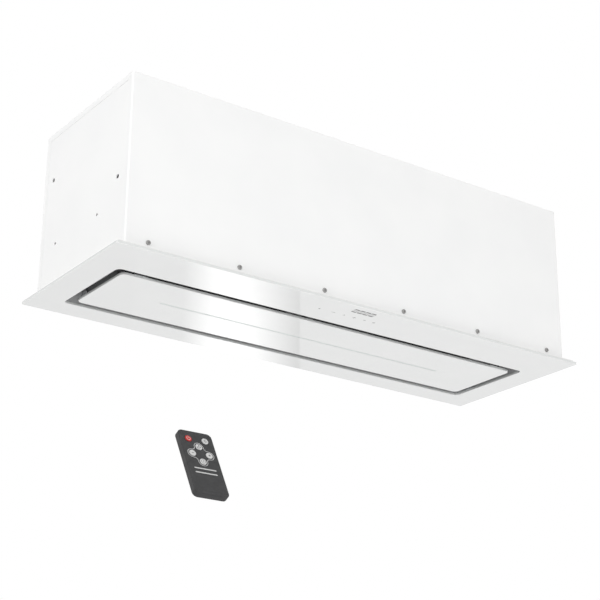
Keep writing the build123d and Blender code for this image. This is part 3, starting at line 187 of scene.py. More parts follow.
card.data.materials.append(card_light)

# ---------------------------------------------------------------- housing
# Two folded sheets of 1.2 mm steel, powder coated white with a fine orange-peel skin.
# Screwed to the base frame along the bottom edge; the mitred seam shows at each end of the top.
housing_white = (0.905, 0.907, 0.903, 1)
housing_shade = (0.885, 0.888, 0.886, 1)


def grain(tree, scale, detail=3.0, rough=0.55, vector=None):
    """Soft noise at a given scale on the piece's own coordinates."""
    vector = vector or place_on(tree)
    noise = add(tree, "TexNoise", {"Vector": vector, "Scale": scale, "Detail": detail, "Roughness": rough})
    return noise.outputs["Fac"]


def contrast(tree, value, start, end):
    """Stretches a value, so that it is 0 up to one level and 1 from another."""
    return spread(tree, value, 0.0, 1.0, start, end)


def blend_colours(tree, amount, first, second):
    """Mixes two colours by a factor and returns the mixed colour's socket."""
    mix = add(tree, "Mix", {0: amount, 6: first, 7: second}, data_type="RGBA")
    return mix.outputs[2]


def paint(tree, shader, amount, first, second):
    """Gives the shader a colour that changes from the first to the second with a pattern."""
    tree.links.new(blend_colours(tree, amount, first, second), shader.inputs["Base Color"])


def roughen(tree, shader, amount):
    """Gives the shader a roughness that changes with a pattern."""
    tree.links.new(amount, shader.inputs["Roughness"])


def raise_by(tree, shader, pattern, depth):
    """Feeds a pattern to the shader's normal as a bump of a real depth, in metres."""
    bump = add(tree, "Bump", {"Height": pattern, "Distance": depth, "Strength": 1.0})
    tree.links.new(bump.outputs[0], shader.inputs["Normal"])


def powder_coat(name, colour, shade, gloss):
    """Baked powder paint: faint cloudiness over the sheet and a fine orange-peel skin."""
    finish, tree, shader = new_finish(name)
    clouds = grain(tree, scale=9.0, detail=2.0)
    paint(tree, shader, contrast(tree, clouds, 0.35, 0.65), colour, shade)
    sheen = grain(tree, scale=60.0)
    roughen(tree, shader, spread(tree, sheen, gloss - 0.03, gloss + 0.04, 0.3, 0.7))
    shader.inputs["Specular IOR Level"].default_value = 0.35
    raise_by(tree, shader, grain(tree, scale=820.0, detail=2.0, rough=0.4), depth=0.00003)
    return finish


def dress(finish, *names):
    """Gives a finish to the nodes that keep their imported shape."""
    for name in names:
        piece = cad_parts[name]
        if not piece.material_slots:
            piece.data.materials.append(finish)
        for holder in piece.material_slots:
            holder.material = finish


white_coat = powder_coat("white_coat", housing_white, housing_shade, gloss=0.42)
dress(white_coat, "housing_wrap", "housing_back_top")

# ---------------------------------------------------------------- housing screws, nuts and brackets
# Nickel-plated pan-head screws with a cross recess, turned into clinch nuts in the frame's upstands.
# Four zinc-plated angle brackets under the top take the hanging rods.
nickel = (0.48, 0.475, 0.47, 1)
nickel_dull = (0.20, 0.197, 0.192, 1)
zinc_light = (0.66, 0.67, 0.68, 1)
zinc_dark = (0.50, 0.51, 0.53, 1)


def turned_metal(name, gloss):
    """Nickel plate or bright steel with fine turning marks and dull patches."""
    finish, tree, shader = new_finish(name)
    patches = grain(tree, scale=700.0)
    paint(tree, shader, contrast(tree, patches, 0.4, 0.7), nickel, nickel_dull)
    shader.inputs["Metallic"].default_value = 1.0
    roughen(tree, shader, spread(tree, grain(tree, scale=2400.0), gloss - 0.06, gloss + 0.1))
    raise_by(tree, shader, grain(tree, scale=5200.0, detail=1.0), depth=0.000004)
    return finish


def galvanised(name, light, dark, gloss, flake_scale):
    """Zinc-coated sheet: crystal flakes of slightly different greys, with faint rolling lines along X."""
    finish, tree, shader = new_finish(name)
    where = place_on(tree)
    flakes = add(tree, "TexVoronoi", {"Vector": where, "Scale": flake_scale, "Randomness": 1.0}, feature="F1")
    tone = add(tree, "SeparateColor", {"Color": flakes.outputs["Color"]}).outputs[0]
    paint(tree, shader, contrast(tree, tone, 0.0, 1.0), light, dark)
    shader.inputs["Metallic"].default_value = 0.85
    roughen(tree, shader, spread(tree, tone, gloss - 0.05, gloss + 0.12))
    drawn_out = add(tree, "Mapping", {"Vector": where, "Scale": (40.0, 900.0, 900.0)}).outputs[0]
    lines = grain(tree, scale=1.0, detail=2.0, rough=0.5, vector=drawn_out)
    raise_by(tree, shader, lines, depth=0.000012)
    return finish


dress(turned_metal("nickel_plate", gloss=0.26), "housing_screws")
zinc_plate = galvanised("zinc_plate", zinc_light, zinc_dark, gloss=0.38, flake_scale=240.0)
dress(zinc_plate, "clinch_nuts", "hanging_brackets")

# ---------------------------------------------------------------- base frame and ceiling seal
# A coated steel ring carries everything: it lies on the flange glass, and its upstands hold the housing.
# The closed-cell foam ring on it is squeezed against the ceiling.
frame_white = (0.86, 0.862, 0.86, 1)
frame_shade = (0.82, 0.822, 0.82, 1)
foam_hollow_shade = (0.70, 0.70, 0.69, 1)
foam_light = (0.86, 0.86, 0.85, 1)


def foam_skin(name, dark, light):
    """Closed-cell foam: small round cells with a matt skin, each cell's hollow painted darker as shade."""
    finish, tree, shader = new_finish(name)
    cells = add(tree, "TexVoronoi", {"Vector": place_on(tree), "Scale": 900.0}, feature="F1")
    from_middle = cells.outputs["Distance"]
    # The cells' hollows, low in the bump, get the darker colour: painted shade.
    paint(tree, shader, contrast(tree, from_middle, 0.1, 0.7), dark, light)
    shader.inputs["Roughness"].default_value = 0.95
    raise_by(tree, shader, from_middle, depth=0.0002)
    return finish


dress(powder_coat("frame_coat", frame_white, frame_shade, gloss=0.5), "base_frame")
dress(foam_skin("seal_foam", foam_hollow_shade, foam_light), "ceiling_seal")

# ---------------------------------------------------------------- flange glass
# Four millimetres of tempered glass, enamelled white behind, with ground and bevelled edges.
# The edge shows the glass's own faint grey-green where the enamel ends, made darker as painted shade for the
# soft shadow along the flange's edge under the housing.
glass_white = (0.87, 0.875, 0.87, 1)
glass_cloud = (0.855, 0.862, 0.857, 1)
edge_green_and_shade = (0.71, 0.722, 0.716, 1)


def enamelled_glass(name):
    """Polished glass over white enamel; where the surface turns into the ground edge it takes the glass's
    grey-green, darkened as painted shade.
    """
    finish, tree, shader = new_finish(name)
    facing = tree.nodes.new("ShaderNodeTexCoord").outputs["Normal"]
    upright = add(tree, "SeparateXYZ", {0: facing}).outputs["Z"]
    flat = add(tree, "Math", {0: upright}, operation="ABSOLUTE").outputs[0]
    clouds = grain(tree, scale=14.0, detail=2.0)
    enamel = blend_colours(tree, contrast(tree, clouds, 0.35, 0.65), glass_white, glass_cloud)
    # Upright faces take the edge colour: the glass's grey-green, darkened as painted shade.
    paint(tree, shader, contrast(tree, flat, 0.2, 0.9), edge_green_and_shade, enamel)
    smear = grain(tree, scale=35.0, detail=4.0)
    roughen(tree, shader, spread(tree, smear, 0.012, 0.05, 0.4, 0.75))
    shader.inputs["IOR"].default_value = 1.52
    raise_by(tree, shader, grain(tree, scale=6.0, detail=1.0), depth=0.00002)
    return finish


white_glass = enamelled_glass("white_glass")
dress(white_glass, "flange_glass")

# ---------------------------------------------------------------- touch marks and number display
# Grey enamel symbols fired on the glass over the touch board's pads, a few hundredths of a millimetre thick.
# Beside them the number display shows through as four unlit seven-bar digits.
ink_film = 0.00005
corner_round = 0.49  # share of a bar's width that its corners are rounded by
mark_row = -0.1082
mark_places = {
    "power": -0.0665, "minus": -0.0394, "fan": -0.0184,
    "plus": 0.0017, "timer": 0.0221, "light": 0.0410,
}
power_radius, power_line = 0.0014, 0.0009
minus_length, minus_width = 0.0075, 0.0013
fan_radius, timer_radius, fine_line = 0.0024, 0.0021, 0.00064
plus_length, plus_width = 0.0066, 0.0011
light_radius, light_line = 0.0030, 0.00072
display_middle = (0.0019, -0.1336)
digit_count = 4
digit_pitch = 0.0109
digit_length, digit_height = 0.0106, 0.0130
digit_bar, faint_bar, digit_gap = 0.0028, 0.00224, 0.0003
glass_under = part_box("flange_glass")[0][2]


def unselect():
    """Nothing chosen, so that the next operator acts on its own piece alone."""
    bpy.ops.object.select_all(action="DESELECT")


def choose(*pieces):
    """These pieces alone are chosen, and the first of them is the active one."""
    unselect()
    for piece in pieces:
        piece.select_set(True)
    bpy.context.view_layer.objects.active = pieces[0]


def thicken_ink(flat, place, turn=0.0):
    """Gives a flat shape in edit mode the thickness of the ink, then turns it and puts it in its place."""
    bpy.ops.mesh.select_all(action="SELECT")
    bpy.ops.mesh.extrude_region_move(TRANSFORM_OT_translate={"value": (0, 0, ink_film)})
    bpy.ops.mesh.select_all(action="SELECT")
    bpy.ops.mesh.normals_make_consistent(inside=False)
    bpy.ops.object.mode_set(mode="OBJECT")
    flat.matrix_world = Matrix.Translation((place[0], place[1], 0)) @ Matrix.Rotation(turn, 4, "Z")
    bpy.ops.object.transform_apply(location=True, rotation=True, scale=True)
    return flat


def ink_bar(place, length, width, turn=0.0, ends=4):
    """A thin bar of ink lying flat, with rounded ends."""
    unselect()
    bpy.ops.mesh.primitive_plane_add(size=1)
    bar = bpy.context.object
    bar.scale = (length, width, 1)
    bpy.ops.object.transform_apply(location=False, rotation=False, scale=True)
    bpy.ops.object.mode_set(mode="EDIT")
    bpy.ops.mesh.select_all(action="SELECT")
    bpy.ops.mesh.bevel(offset=width * corner_round, segments=ends, affect="VERTICES")
    return thicken_ink(bar, place, turn)


def ink_loop(place, reach, line, kept=None, steps=40):
    """A thin closed line of ink: reach gives its distance from its middle at an angle, and kept what stays."""
    unselect()
    bpy.ops.mesh.primitive_circle_add(vertices=steps, radius=1, fill_type="NGON")
    loop = bpy.context.object
    for point in loop.data.vertices:
        angle = math.atan2(point.co.y, point.co.x)
        point.co = Vector((math.cos(angle), math.sin(angle), 0)) * reach(angle)
    bpy.ops.object.mode_set(mode="EDIT")
    bpy.ops.mesh.select_all(action="SELECT")
    bpy.ops.mesh.inset(thickness=line)
    bpy.ops.mesh.delete(type="FACE")
    if kept is not None:
        shape = bmesh.from_edit_mesh(loop.data)
        for face in shape.faces:
            middle = face.calc_center_median()
            face.select_set(not kept(math.degrees(math.atan2(middle.y, middle.x)) % 360))
        bmesh.update_edit_mesh(loop.data)
        bpy.ops.mesh.delete(type="FACE")
    return thicken_ink(loop, place)


def ink_dot(place, radius):
    """A thin round spot of ink."""
    unselect()
    bpy.ops.mesh.primitive_circle_add(vertices=24, radius=radius, fill_type="NGON")
    dot = bpy.context.object
    bpy.ops.object.mode_set(mode="EDIT")
    return thicken_ink(dot, place)


def away(place, turn, distance):
    """The point that lies at a distance from a place, in the direction of a turn."""
    return place[0] + math.cos(turn) * distance, place[1] + math.sin(turn) * distance


def power_symbol(place, radius, line):
    """A ring open at the top, with a short stroke in the opening."""
    opening_start, opening_end = 58, 122  # degrees
    stroke_middle, stroke_length = radius * 0.75, radius * 1.1
    ring = ink_loop(place, lambda angle: radius, line, lambda angle: not opening_start < angle < opening_end)
    return [ring, ink_bar((place[0], place[1] + stroke_middle), stroke_length, line, math.pi / 2)]


def sun_symbol(place, radius, line):
    """A small ring with eight short rays."""
    ring_radius, ray_middle, ray_length, ray_line = radius * 0.5, radius * 0.85, radius * 0.4, line * 0.8
    parts = [ink_loop(place, lambda angle: ring_radius, line)]
    for step in range(8):
        turn = step * math.pi / 4
        parts.append(ink_bar(away(place, turn, ray_middle), ray_length, ray_line, turn, 2))
    return parts


def clock_symbol(place, radius, line):
    """A ring with two hands."""
    long_hand_middle, long_hand = radius * 0.28, radius * 0.65
    short_hand_middle, short_hand = radius * 0.2, radius * 0.5
    return [
        ink_loop(place, lambda angle: radius, line),
        ink_bar((place[0], place[1] + long_hand_middle), long_hand, line, math.pi / 2, 2),
        ink_bar((place[0] + short_hand_middle, place[1]), short_hand, line, 0.0, 2),
    ]


def fan_symbol(place, radius, line):
    """Three bowed blades round a dot."""
    dot_radius, blade_middle = line * 0.8, radius * 0.6
    blade_radius, blade_bow = radius * 0.34, radius * 0.1
    parts = [ink_dot(place, dot_radius)]
    for step in range(3):
        turn = math.radians(90 + step * 120)
        parts.append(ink_loop(
            away(place, turn, blade_middle),
            lambda angle, turn=turn: blade_radius + blade_bow * math.cos(2 * (angle - turn)),
            line,
            steps=20,
        ))
    return parts


def fix_whole(parts, name, finish, body, place):
    """Joins parts into one piece, sets it where it belongs and fixes it to its body."""
    choose(*parts)
    if len(parts) > 1:
        bpy.ops.object.join()
    whole = bpy.context.object
    whole.name = name
    whole.matrix_world = place
    bpy.ops.object.transform_apply(location=True, rotation=True, scale=True)
    whole.data.materials.append(finish)
    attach(whole, body)


def ink(name, colour, darker):
    """Fired or printed ink: slightly uneven tone and a fine grain."""
    finish, tree, shader = new_finish(name)
    paint(tree, shader, contrast(tree, grain(tree, scale=900.0), 0.35, 0.65), colour, darker)
    roughen(tree, shader, spread(tree, grain(tree, scale=1500.0), 0.3, 0.5))
    return finish


facing_below = Matrix.Rotation(math.pi, 4, "X")
under_glass = Matrix.Translation((0, 0, glass_under)) @ facing_below
grey_enamel = ink("grey_enamel", (0.30, 0.30, 0.30, 1), (0.26, 0.26, 0.26, 1))
dark_enamel = ink("dark_enamel", (0.05, 0.05, 0.052, 1), (0.04, 0.04, 0.042, 1))
# The marks are drawn face up and then turned over under the glass, so their Y is drawn the other way round.
spots = {mark: (x, -mark_row) for mark, x in mark_places.items()}
power_parts = power_symbol(spots["power"], power_radius, power_line)
fix_whole(power_parts, "touch_mark_power", dark_enamel, "hood", under_glass)
other_parts = [ink_bar(spots["minus"], minus_length, minus_width)]
other_parts += fan_symbol(spots["fan"], fan_radius, fine_line)
for turn in (0.0, math.pi / 2):
    other_parts.append(ink_bar(spots["plus"], plus_length, plus_width, turn))
other_parts += clock_symbol(spots["timer"], timer_radius, fine_line)
other_parts += sun_symbol(spots["light"], light_radius, light_line)
fix_whole(other_parts, "touch_marks", grey_enamel, "hood", under_glass)

strong_bars, faint_bars = [], []
flat_length = digit_length - digit_bar - 2 * digit_gap
tall_length = (digit_height - digit_bar) / 2 - 2 * digit_gap
digit_rise = (digit_height - digit_bar) / 2
for index in range(digit_count):
    middle_x = display_middle[0] + (index - (digit_count - 1) / 2) * digit_pitch
    middle_y = -display_middle[1]
    for level in (-1, 1):
        end_bar = (middle_x, middle_y + level * digit_rise)
        strong_bars.append(ink_bar(end_bar, flat_length + digit_bar, digit_bar, 0.0, 1))
        for side in (-1, 1):
            beside = (middle_x + side * (digit_length - digit_bar) / 2, middle_y + level * digit_rise / 2)
            faint_bars.append(ink_bar(beside, tall_length, faint_bar, math.pi / 2, 1))
    faint_bars.append(ink_bar((middle_x, middle_y), flat_length, faint_bar, 0.0, 1))
bar_grey = ink("bar_grey", (0.10, 0.10, 0.10, 1), (0.08, 0.08, 0.08, 1))
bar_faint = ink("bar_faint", (0.52, 0.52, 0.52, 1), (0.48, 0.48, 0.48, 1))
fix_whole(strong_bars, "display_bars_level", bar_grey, "hood", under_glass)
fix_whole(faint_bars, "display_bars_upright", bar_faint, "hood", under_glass)

# ---------------------------------------------------------------- suction recess
# A folded tray of grey coated steel over the opening, with small screws up into its deck.
# Grey angle plates near its front corners carry ferrite magnets, and zinc-plated brackets the hinge pins.
recess_grey = (0.62, 0.625, 0.63, 1)
recess_dark = (0.56, 0.565, 0.57, 1)
cover_grey = (0.70, 0.705, 0.71, 1)
cover_dark = (0.64, 0.645, 0.65, 1)
ferrite = (0.035, 0.034, 0.036, 1)
screw_facets = 28
small_screw = {"radius": 0.0027, "height": 0.0017}
deck_sheet = 0.001
deck_end_inset = 0.0195
deck_screw_rows = (-0.045, 0.0185, 0.082)


def moulded(name, colour, gloss, texture, depth=0.00001):
    """Moulded plastic, or a pressed block, with a fine even texture of a given scale and depth."""
    finish, tree, shader = new_finish(name)
    lighter = tuple(min(1.0, part * 1.12 + 0.004) for part in colour[:3]) + (1,)
    paint(tree, shader, contrast(tree, grain(tree, texture), 0.35, 0.65), colour, lighter)
    sheen = grain(tree, scale=90.0)
    roughen(tree, shader, spread(tree, sheen, gloss - 0.05, gloss + 0.06, 0.35, 0.65))
    raise_by(tree, shader, grain(tree, texture, detail=2.0, rough=0.4), depth)
    return finish


dress(powder_coat("recess_coat", recess_grey, recess_dark, gloss=0.5), "recess_tray")
dress(powder_coat("cover_coat", cover_grey, cover_dark, gloss=0.5), "front_corner_covers")
dress(moulded("ferrite_block", ferrite, gloss=0.75, texture=1500.0, depth=0.00004), "magnet_catches")
dress(zinc_plate, "hinge_brackets", "hinge_ears", "strike_plates")


def pan_head(radius, height):
    """A pan-head screw's head: a turned disc with a rounded rim and a cross recess, base on the XY plane."""
    rim_level, rim_round = height * 0.9, height * 0.55
    slot_length, slot_width = radius * 1.15, radius * 0.26
    unselect()
    bpy.ops.mesh.primitive_cylinder_add(
        vertices=screw_facets, radius=radius, depth=height, location=(0, 0, height / 2)
    )
    head = bpy.context.object
    bpy.ops.object.transform_apply(location=True, rotation=False, scale=False)
    bpy.ops.object.mode_set(mode="EDIT")
    bpy.ops.mesh.select_all(action="DESELECT")
    shape = bmesh.from_edit_mesh(head.data)
    for edge in shape.edges:
        edge.select_set(all(point.co.z > rim_level for point in edge.verts))
    bmesh.update_edit_mesh(head.data)
    bpy.ops.mesh.bevel(offset=rim_round, segments=4, affect="EDGES", clamp_overlap=True)
    bpy.ops.object.mode_set(mode="OBJECT")
    for turn in (0.0, math.pi / 2):
        unselect()
        bpy.ops.mesh.primitive_cube_add(size=1, location=(0, 0, height), rotation=(0, 0, turn))
        tooth = bpy.context.object
        tooth.scale = (slot_length, slot_width, height)
        bpy.ops.object.transform_apply(location=True, rotation=True, scale=True)
        choose(head)
        slot_cut = head.modifiers.new("slot_cut", "BOOLEAN")
        slot_cut.operation = "DIFFERENCE"
        slot_cut.object = tooth
        slot_cut.solver = "EXACT"
        bpy.ops.object.modifier_apply(modifier="slot_cut")
        bpy.data.objects.remove(tooth)
    bpy.ops.object.shade_smooth_by_angle(angle=math.radians(35))
    return head


def screw_spots(columns, rows, level, turn_by_x, turn_by_y, facing):
    """Places for screws where columns and rows cross, each left at its own angle (radians for each metre)."""
    return [
        Matrix.Translation((x, y, level)) @ Matrix.Rotation(turn_by_x * x + turn_by_y * y, 4, "Z") @ facing
        for x in columns
        for y in rows
    ]


def screw_set(name, places, radius, height):
    """Copies one head to every place and turn, and joins the copies into one piece."""
    first = pan_head(radius, height)
    heads = []
    for place in places:
        copy = first.copy()
        copy.data = first.data.copy()
        bpy.context.scene.collection.objects.link(copy)
        copy.matrix_world = place
        choose(copy)
        bpy.ops.object.transform_apply(location=True, rotation=True, scale=True)
        heads.append(copy)
    bpy.data.objects.remove(first)
    fix_whole(heads, name, screw_metal, "hood", Matrix.Identity(4))


screw_metal = turned_metal("screw_metal", gloss=0.24)
tray_low, tray_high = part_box("recess_tray")
deck_columns = (tray_low[0] + deck_end_inset, 0.0, tray_high[0] - deck_end_inset)
deck_under = tray_high[2] - deck_sheet
deck_screws = screw_spots(
    deck_columns, deck_screw_rows, deck_under, turn_by_x=13.0, turn_by_y=29.0, facing=facing_below
)
screw_set("deck_screws", deck_screws, **small_screw)
dress(turned_metal("pin_steel", gloss=0.2), "hinge_pins")

# ---------------------------------------------------------------- centre panel
# The same white glass with a slot for the light, bonded under a shallow pan of coated steel, whose dark grey is
# partly painted shade for the gaps round the panel.
# Behind the slot an extruded aluminium channel holds the light strip and its milky bar.
# The pan's coat is dark grey, darkened further as painted shade for the gaps round the panel.
pan_grey_and_shade = (0.21, 0.212, 0.214, 1)
pan_dark_and_shade = (0.18, 0.182, 0.184, 1)
bead_length, bead_width, bead_height = 0.150, 0.009, 0.0012
bead_columns = (-0.285, -0.095, 0.095, 0.285)
bead_rows = (0.002, 0.056)
aluminium_light = (0.80, 0.81, 0.82, 1)
aluminium_dark = (0.66, 0.67, 0.69, 1)
opal_dark = (0.60, 0.66, 0.64, 1)
opal_light = (0.66, 0.71, 0.69, 1)
mask_green = (0.012, 0.085, 0.04, 1)
mask_deep = (0.014, 0.10, 0.048, 1)
track_green = (0.02, 0.16, 0.075, 1)
tinned_pad = (0.62, 0.62, 0.60, 1)

dress(white_glass, "panel_glass")
pan_coat_and_shade = powder_coat("pan_coat_and_shade", pan_grey_and_shade, pan_dark_and_shade, gloss=0.5)
dress(pan_coat_and_shade, "panel_pan")


def pressed_bead(middle):
    """A stiffening bead pressed up out of the pan: a long bar with round ends and a domed back."""
    half_straight = bead_length / 2 - bead_width / 2
    seam = bead_width * 0.001
    unselect()
    bpy.ops.mesh.primitive_uv_sphere_add(segments=24, ring_count=12, radius=bead_width / 2)
    bead = bpy.context.object
    bpy.ops.object.mode_set(mode="EDIT")
    bpy.ops.mesh.select_all(action="SELECT")
    bpy.ops.mesh.bisect(plane_co=(0, 0, 0), plane_no=(0, 0, 1), clear_inner=True, use_fill=True)
    bpy.ops.mesh.select_all(action="SELECT")
    bpy.ops.mesh.bisect(plane_co=(0, 0, 0), plane_no=(1, 0, 0))
    shape = bmesh.from_edit_mesh(bead.data)
    for point in shape.verts:
        if point.co.x > seam:
            point.co.x += half_straight
        elif point.co.x < -seam:
            point.co.x -= half_straight
    bmesh.update_edit_mesh(bead.data)
    bpy.ops.mesh.select_all(action="SELECT")
    bpy.ops.transform.resize(value=(1, 1, bead_height / (bead_width / 2)))
    bpy.ops.object.mode_set(mode="OBJECT")
    bead.location = middle
    bpy.ops.object.transform_apply(location=True, rotation=True, scale=True)
    bpy.ops.object.shade_smooth_by_angle(angle=math.radians(50))
    return bead


pan_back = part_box("panel_pan")[1][2]
beads = [pressed_bead((x, y, pan_back)) for x in bead_columns for y in bead_rows]
fix_whole(beads, "pan_beads", pan_coat_and_shade, "panel", Matrix.Identity(4))


def drawn_metal(name, gloss):
    """Extruded or rolled aluminium with fine lines along X."""
    finish, tree, shader = new_finish(name)
    drawn_out = add(tree, "Mapping", {"Vector": place_on(tree), "Scale": (12.0, 1400.0, 1400.0)}).outputs[0]
    lines = grain(tree, scale=1.0, detail=3.0, rough=0.6, vector=drawn_out)
    paint(tree, shader, contrast(tree, lines, 0.3, 0.7), aluminium_light, aluminium_dark)
    shader.inputs["Metallic"].default_value = 1.0
    roughen(tree, shader, spread(tree, lines, gloss - 0.05, gloss + 0.1))
    raise_by(tree, shader, lines, depth=0.000008)
    return finish


def milky_bar(name):
    """Opal acrylic, unlit: light sinks a little way into a satin surface."""
    finish, tree, shader = new_finish(name)
    paint(tree, shader, contrast(tree, grain(tree, scale=120.0), 0.3, 0.7), opal_dark, opal_light)
    shader.inputs["Subsurface Weight"].default_value = 0.25
    shader.inputs["Subsurface Radius"].default_value = (0.002, 0.002, 0.002)
    shader.inputs["Subsurface Scale"].default_value = 1.0
    roughen(tree, shader, spread(tree, grain(tree, scale=900.0), 0.3, 0.45))
    raise_by(tree, shader, grain(tree, scale=1800.0), depth=0.000006)
    return finish


def circuit_board(name):
    """Green solder mask over copper tracks, with tinned pads in rows."""
    finish, tree, shader = new_finish(name)
    where = place_on(tree)
    tracks = add(tree, "TexBrick", {
        "Vector": where, "Scale": 60.0, "Mortar Size": 0.06, "Brick Width": 0.9, "Row Height": 0.22,
        "Color1": mask_green, "Color2": mask_deep, "Mortar": track_green,
    }).outputs["Color"]
    dots = add(tree, "TexVoronoi", {"Vector": where, "Scale": 390.0, "Randomness": 0.15}, feature="F1")
    pad = spread(tree, dots.outputs["Distance"], 1.0, 0.0, 0.16, 0.2)
    patch = contrast(tree, grain(tree, scale=60.0, detail=1.0), 0.52, 0.56)
    padded = add(tree, "Math", {0: pad, 1: patch}, operation="MULTIPLY").outputs[0]
    paint(tree, shader, padded, tracks, tinned_pad)
    tree.links.new(padded, shader.inputs["Metallic"])
    shader.inputs["Roughness"].default_value = 0.35
    raise_by(tree, shader, padded, depth=0.00005)
    return finish


dress(drawn_metal("channel_aluminium", gloss=0.32), "led_profile")
dress(milky_bar("opal_acrylic"), "led_diffuser")
dress(circuit_board("green_board"), "led_strip", "touch_board", "control_board", "remote_board")

# ---------------------------------------------------------------- grease filters
# Roll-formed aluminium frames that click into the deck by two tongues and a sprung latch.
# Each holds a pleated layer of expanded aluminium mesh between two flat ones.
pleat_columns, pleat_rows, pleat_strand = 120, 20, 0.0007
pleat_folds, pleat_rise = 60, 0.0026
cover_columns, cover_rows, cover_strand = 62, 30, 0.0009
cover_offset = 0.0034
cover_flatness = 0.4
latch_room_half = 0.021
latch_room_depth = 0.0283

dress(drawn_metal("filter_aluminium", gloss=0.34), "filter_frame_left", "filter_frame_right")
mesh_aluminium = drawn_metal("mesh_aluminium", gloss=0.3)


def diamond_sheet(side, level, columns, rows):
    """A grid over the filter turned into diamonds, with the latch's room cut out at the front."""
    low, high = (Vector(corner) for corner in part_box(f"filter_mesh_{side}"))
    middle, size = (low + high) / 2, high - low
    unselect()
    bpy.ops.mesh.primitive_grid_add(x_subdivisions=columns, y_subdivisions=rows, size=1)
    sheet = bpy.context.object
    sheet.scale = (size.x - cover_strand, size.y - cover_strand, 1)
    sheet.location = middle + Vector((0, 0, level))
    bpy.ops.object.transform_apply(location=True, rotation=True, scale=True)
    corners = len(sheet.data.vertices)
    bpy.ops.object.mode_set(mode="EDIT")
    bpy.ops.mesh.select_all(action="SELECT")
    bpy.ops.mesh.poke()
    shape = bmesh.from_edit_mesh(sheet.data)
    shape.verts.index_update()
    for edge in shape.edges:
        edge.select_set(not edge.is_boundary and all(point.index < corners for point in edge.verts))
    bmesh.update_edit_mesh(sheet.data)
    bpy.ops.mesh.dissolve_edges(use_verts=False)
    shape = bmesh.from_edit_mesh(sheet.data)
    latch_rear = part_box(f"filter_frame_{side}")[0][1] + latch_room_depth
    for face in shape.faces:
        place = face.calc_center_median()
        face.select_set(abs(place.x - middle.x) < latch_room_half and place.y < latch_rear)
    bmesh.update_edit_mesh(sheet.data)
    bpy.ops.mesh.delete(type="FACE")
    bpy.ops.object.mode_set(mode="OBJECT")
    return sheet


def keep_strands(sheet, strand):
    """Leaves only the sheet's strands, as square bars."""
    strands = sheet.modifiers.new("strands", "WIREFRAME")
    strands.thickness = strand
    strands.use_even_offset = False
    strands.use_boundary = True
    bpy.ops.object.modifier_apply(modifier="strands")


def expanded_mesh(side):
    """Slit and stretched sheet folded in pleats, between two flat cover sheets of a coarser mesh."""
    low, high = (Vector(corner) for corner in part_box(f"filter_mesh_{side}"))
    fold = (high.x - low.x) / pleat_folds
    pleats = diamond_sheet(side, 0.0, pleat_columns, pleat_rows)
    for point in pleats.data.vertices:
        along = (point.co.x - low.x) / fold % 2
        point.co.z += pleat_rise * (2 * abs(along - 1) - 1)
    keep_strands(pleats, pleat_strand)
    pleats.name = f"pleated_mesh_{side}"
    covers = []
    for face in (-1, 1):
        cover = diamond_sheet(side, face * cover_offset, cover_columns, cover_rows)
        keep_strands(cover, cover_strand)
        level = (low.z + high.z) / 2 + face * cover_offset
        for point in cover.data.vertices:
            point.co.z = level + (point.co.z - level) * cover_flatness
        covers.append(cover)
    choose(*covers)
    bpy.ops.object.join()
    covers[0].name = f"cover_mesh_{side}"
    for piece in (pleats, covers[0]):
        piece.data.materials.append(mesh_aluminium)
        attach(piece, "hood")
        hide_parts(f"filter_mesh_{side}")


expanded_mesh("left")
expanded_mesh("right")
latch_black = moulded("latch_black", (0.02, 0.02, 0.021, 1), gloss=0.45, texture=1400.0)
dress(latch_black, "filter_latch_left", "filter_latch_right")

# ---------------------------------------------------------------- blower
# Galvanised scroll and side plates, spun inlet rings, a moulded twin-inlet impeller and its motor.
# The scroll hangs under the housing's top by the frame round its outlet.
sheet_light = (0.60, 0.61, 0.62, 1)
sheet_dark = (0.46, 0.47, 0.49, 1)
motor_black = (0.02, 0.02, 0.022, 1)
motor_shade = (0.03, 0.03, 0.032, 1)

galvanised_sheet = galvanised("galvanised_sheet", sheet_light, sheet_dark, gloss=0.36, flake_scale=95.0)
dress(galvanised_sheet, "scroll_wall", "scroll_side_left", "scroll_side_right", "inlet_ring_left",
      "inlet_ring_right", "blower_flange", "motor_bracket")
dress(moulded("impeller_black", (0.025, 0.025, 0.027, 1), gloss=0.4, texture=1100.0), "impeller")
dress(powder_coat("motor_enamel", motor_black, motor_shade, gloss=0.35), "motor")
dress(turned_metal("shaft_steel", gloss=0.22), "rotor_shaft")
dress(moulded("capacitor_case", (0.80, 0.80, 0.78, 1), gloss=0.4, texture=1200.0), "run_capacitor")

# ---------------------------------------------------------------- duct outlet
# Moulded black collar screwed on the housing's top, with two flaps on a steel spindle.
# The flaps stop air from blowing back when the hood is off.
collar_plate = 0.0012
collar_screw_inset = 0.0085
collar_screw = {"radius": 0.0038, "height": 0.0024}

dress(moulded("collar_black", (0.022, 0.022, 0.024, 1), gloss=0.42, texture=1000.0), "duct_collar")
dress(moulded("flap_black", (0.028, 0.028, 0.03, 1), gloss=0.5, texture=1000.0), "flap_front", "flap_rear")
dress(turned_metal("spindle_steel", gloss=0.2), "flap_spindle")


def between_ends(low, high, inset):
    """The two lines that lie a little inside a span's ends."""
    return low + inset, high - inset


plate_low, plate_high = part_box("duct_collar")
plate_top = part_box("housing_back_top")[1][2] + collar_plate
collar_screws = screw_spots(
    between_ends(plate_low[0], plate_high[0], collar_screw_inset),
    between_ends(plate_low[1], plate_high[1], collar_screw_inset),
    plate_top,
    turn_by_x=9.0, turn_by_y=17.0, facing=Matrix.Identity(4),
)
screw_set("collar_screws", collar_screws, **collar_screw)

# ---------------------------------------------------------------- electrics
# White moulded boxes under the top, a grey cable gland through it, and the touch unit behind the glass.
# The lid and the light driver's ears are held by small screws from below.
lid_screw_inset = 0.0075
driver_screw_inset = 0.004
driver_ear = 0.002

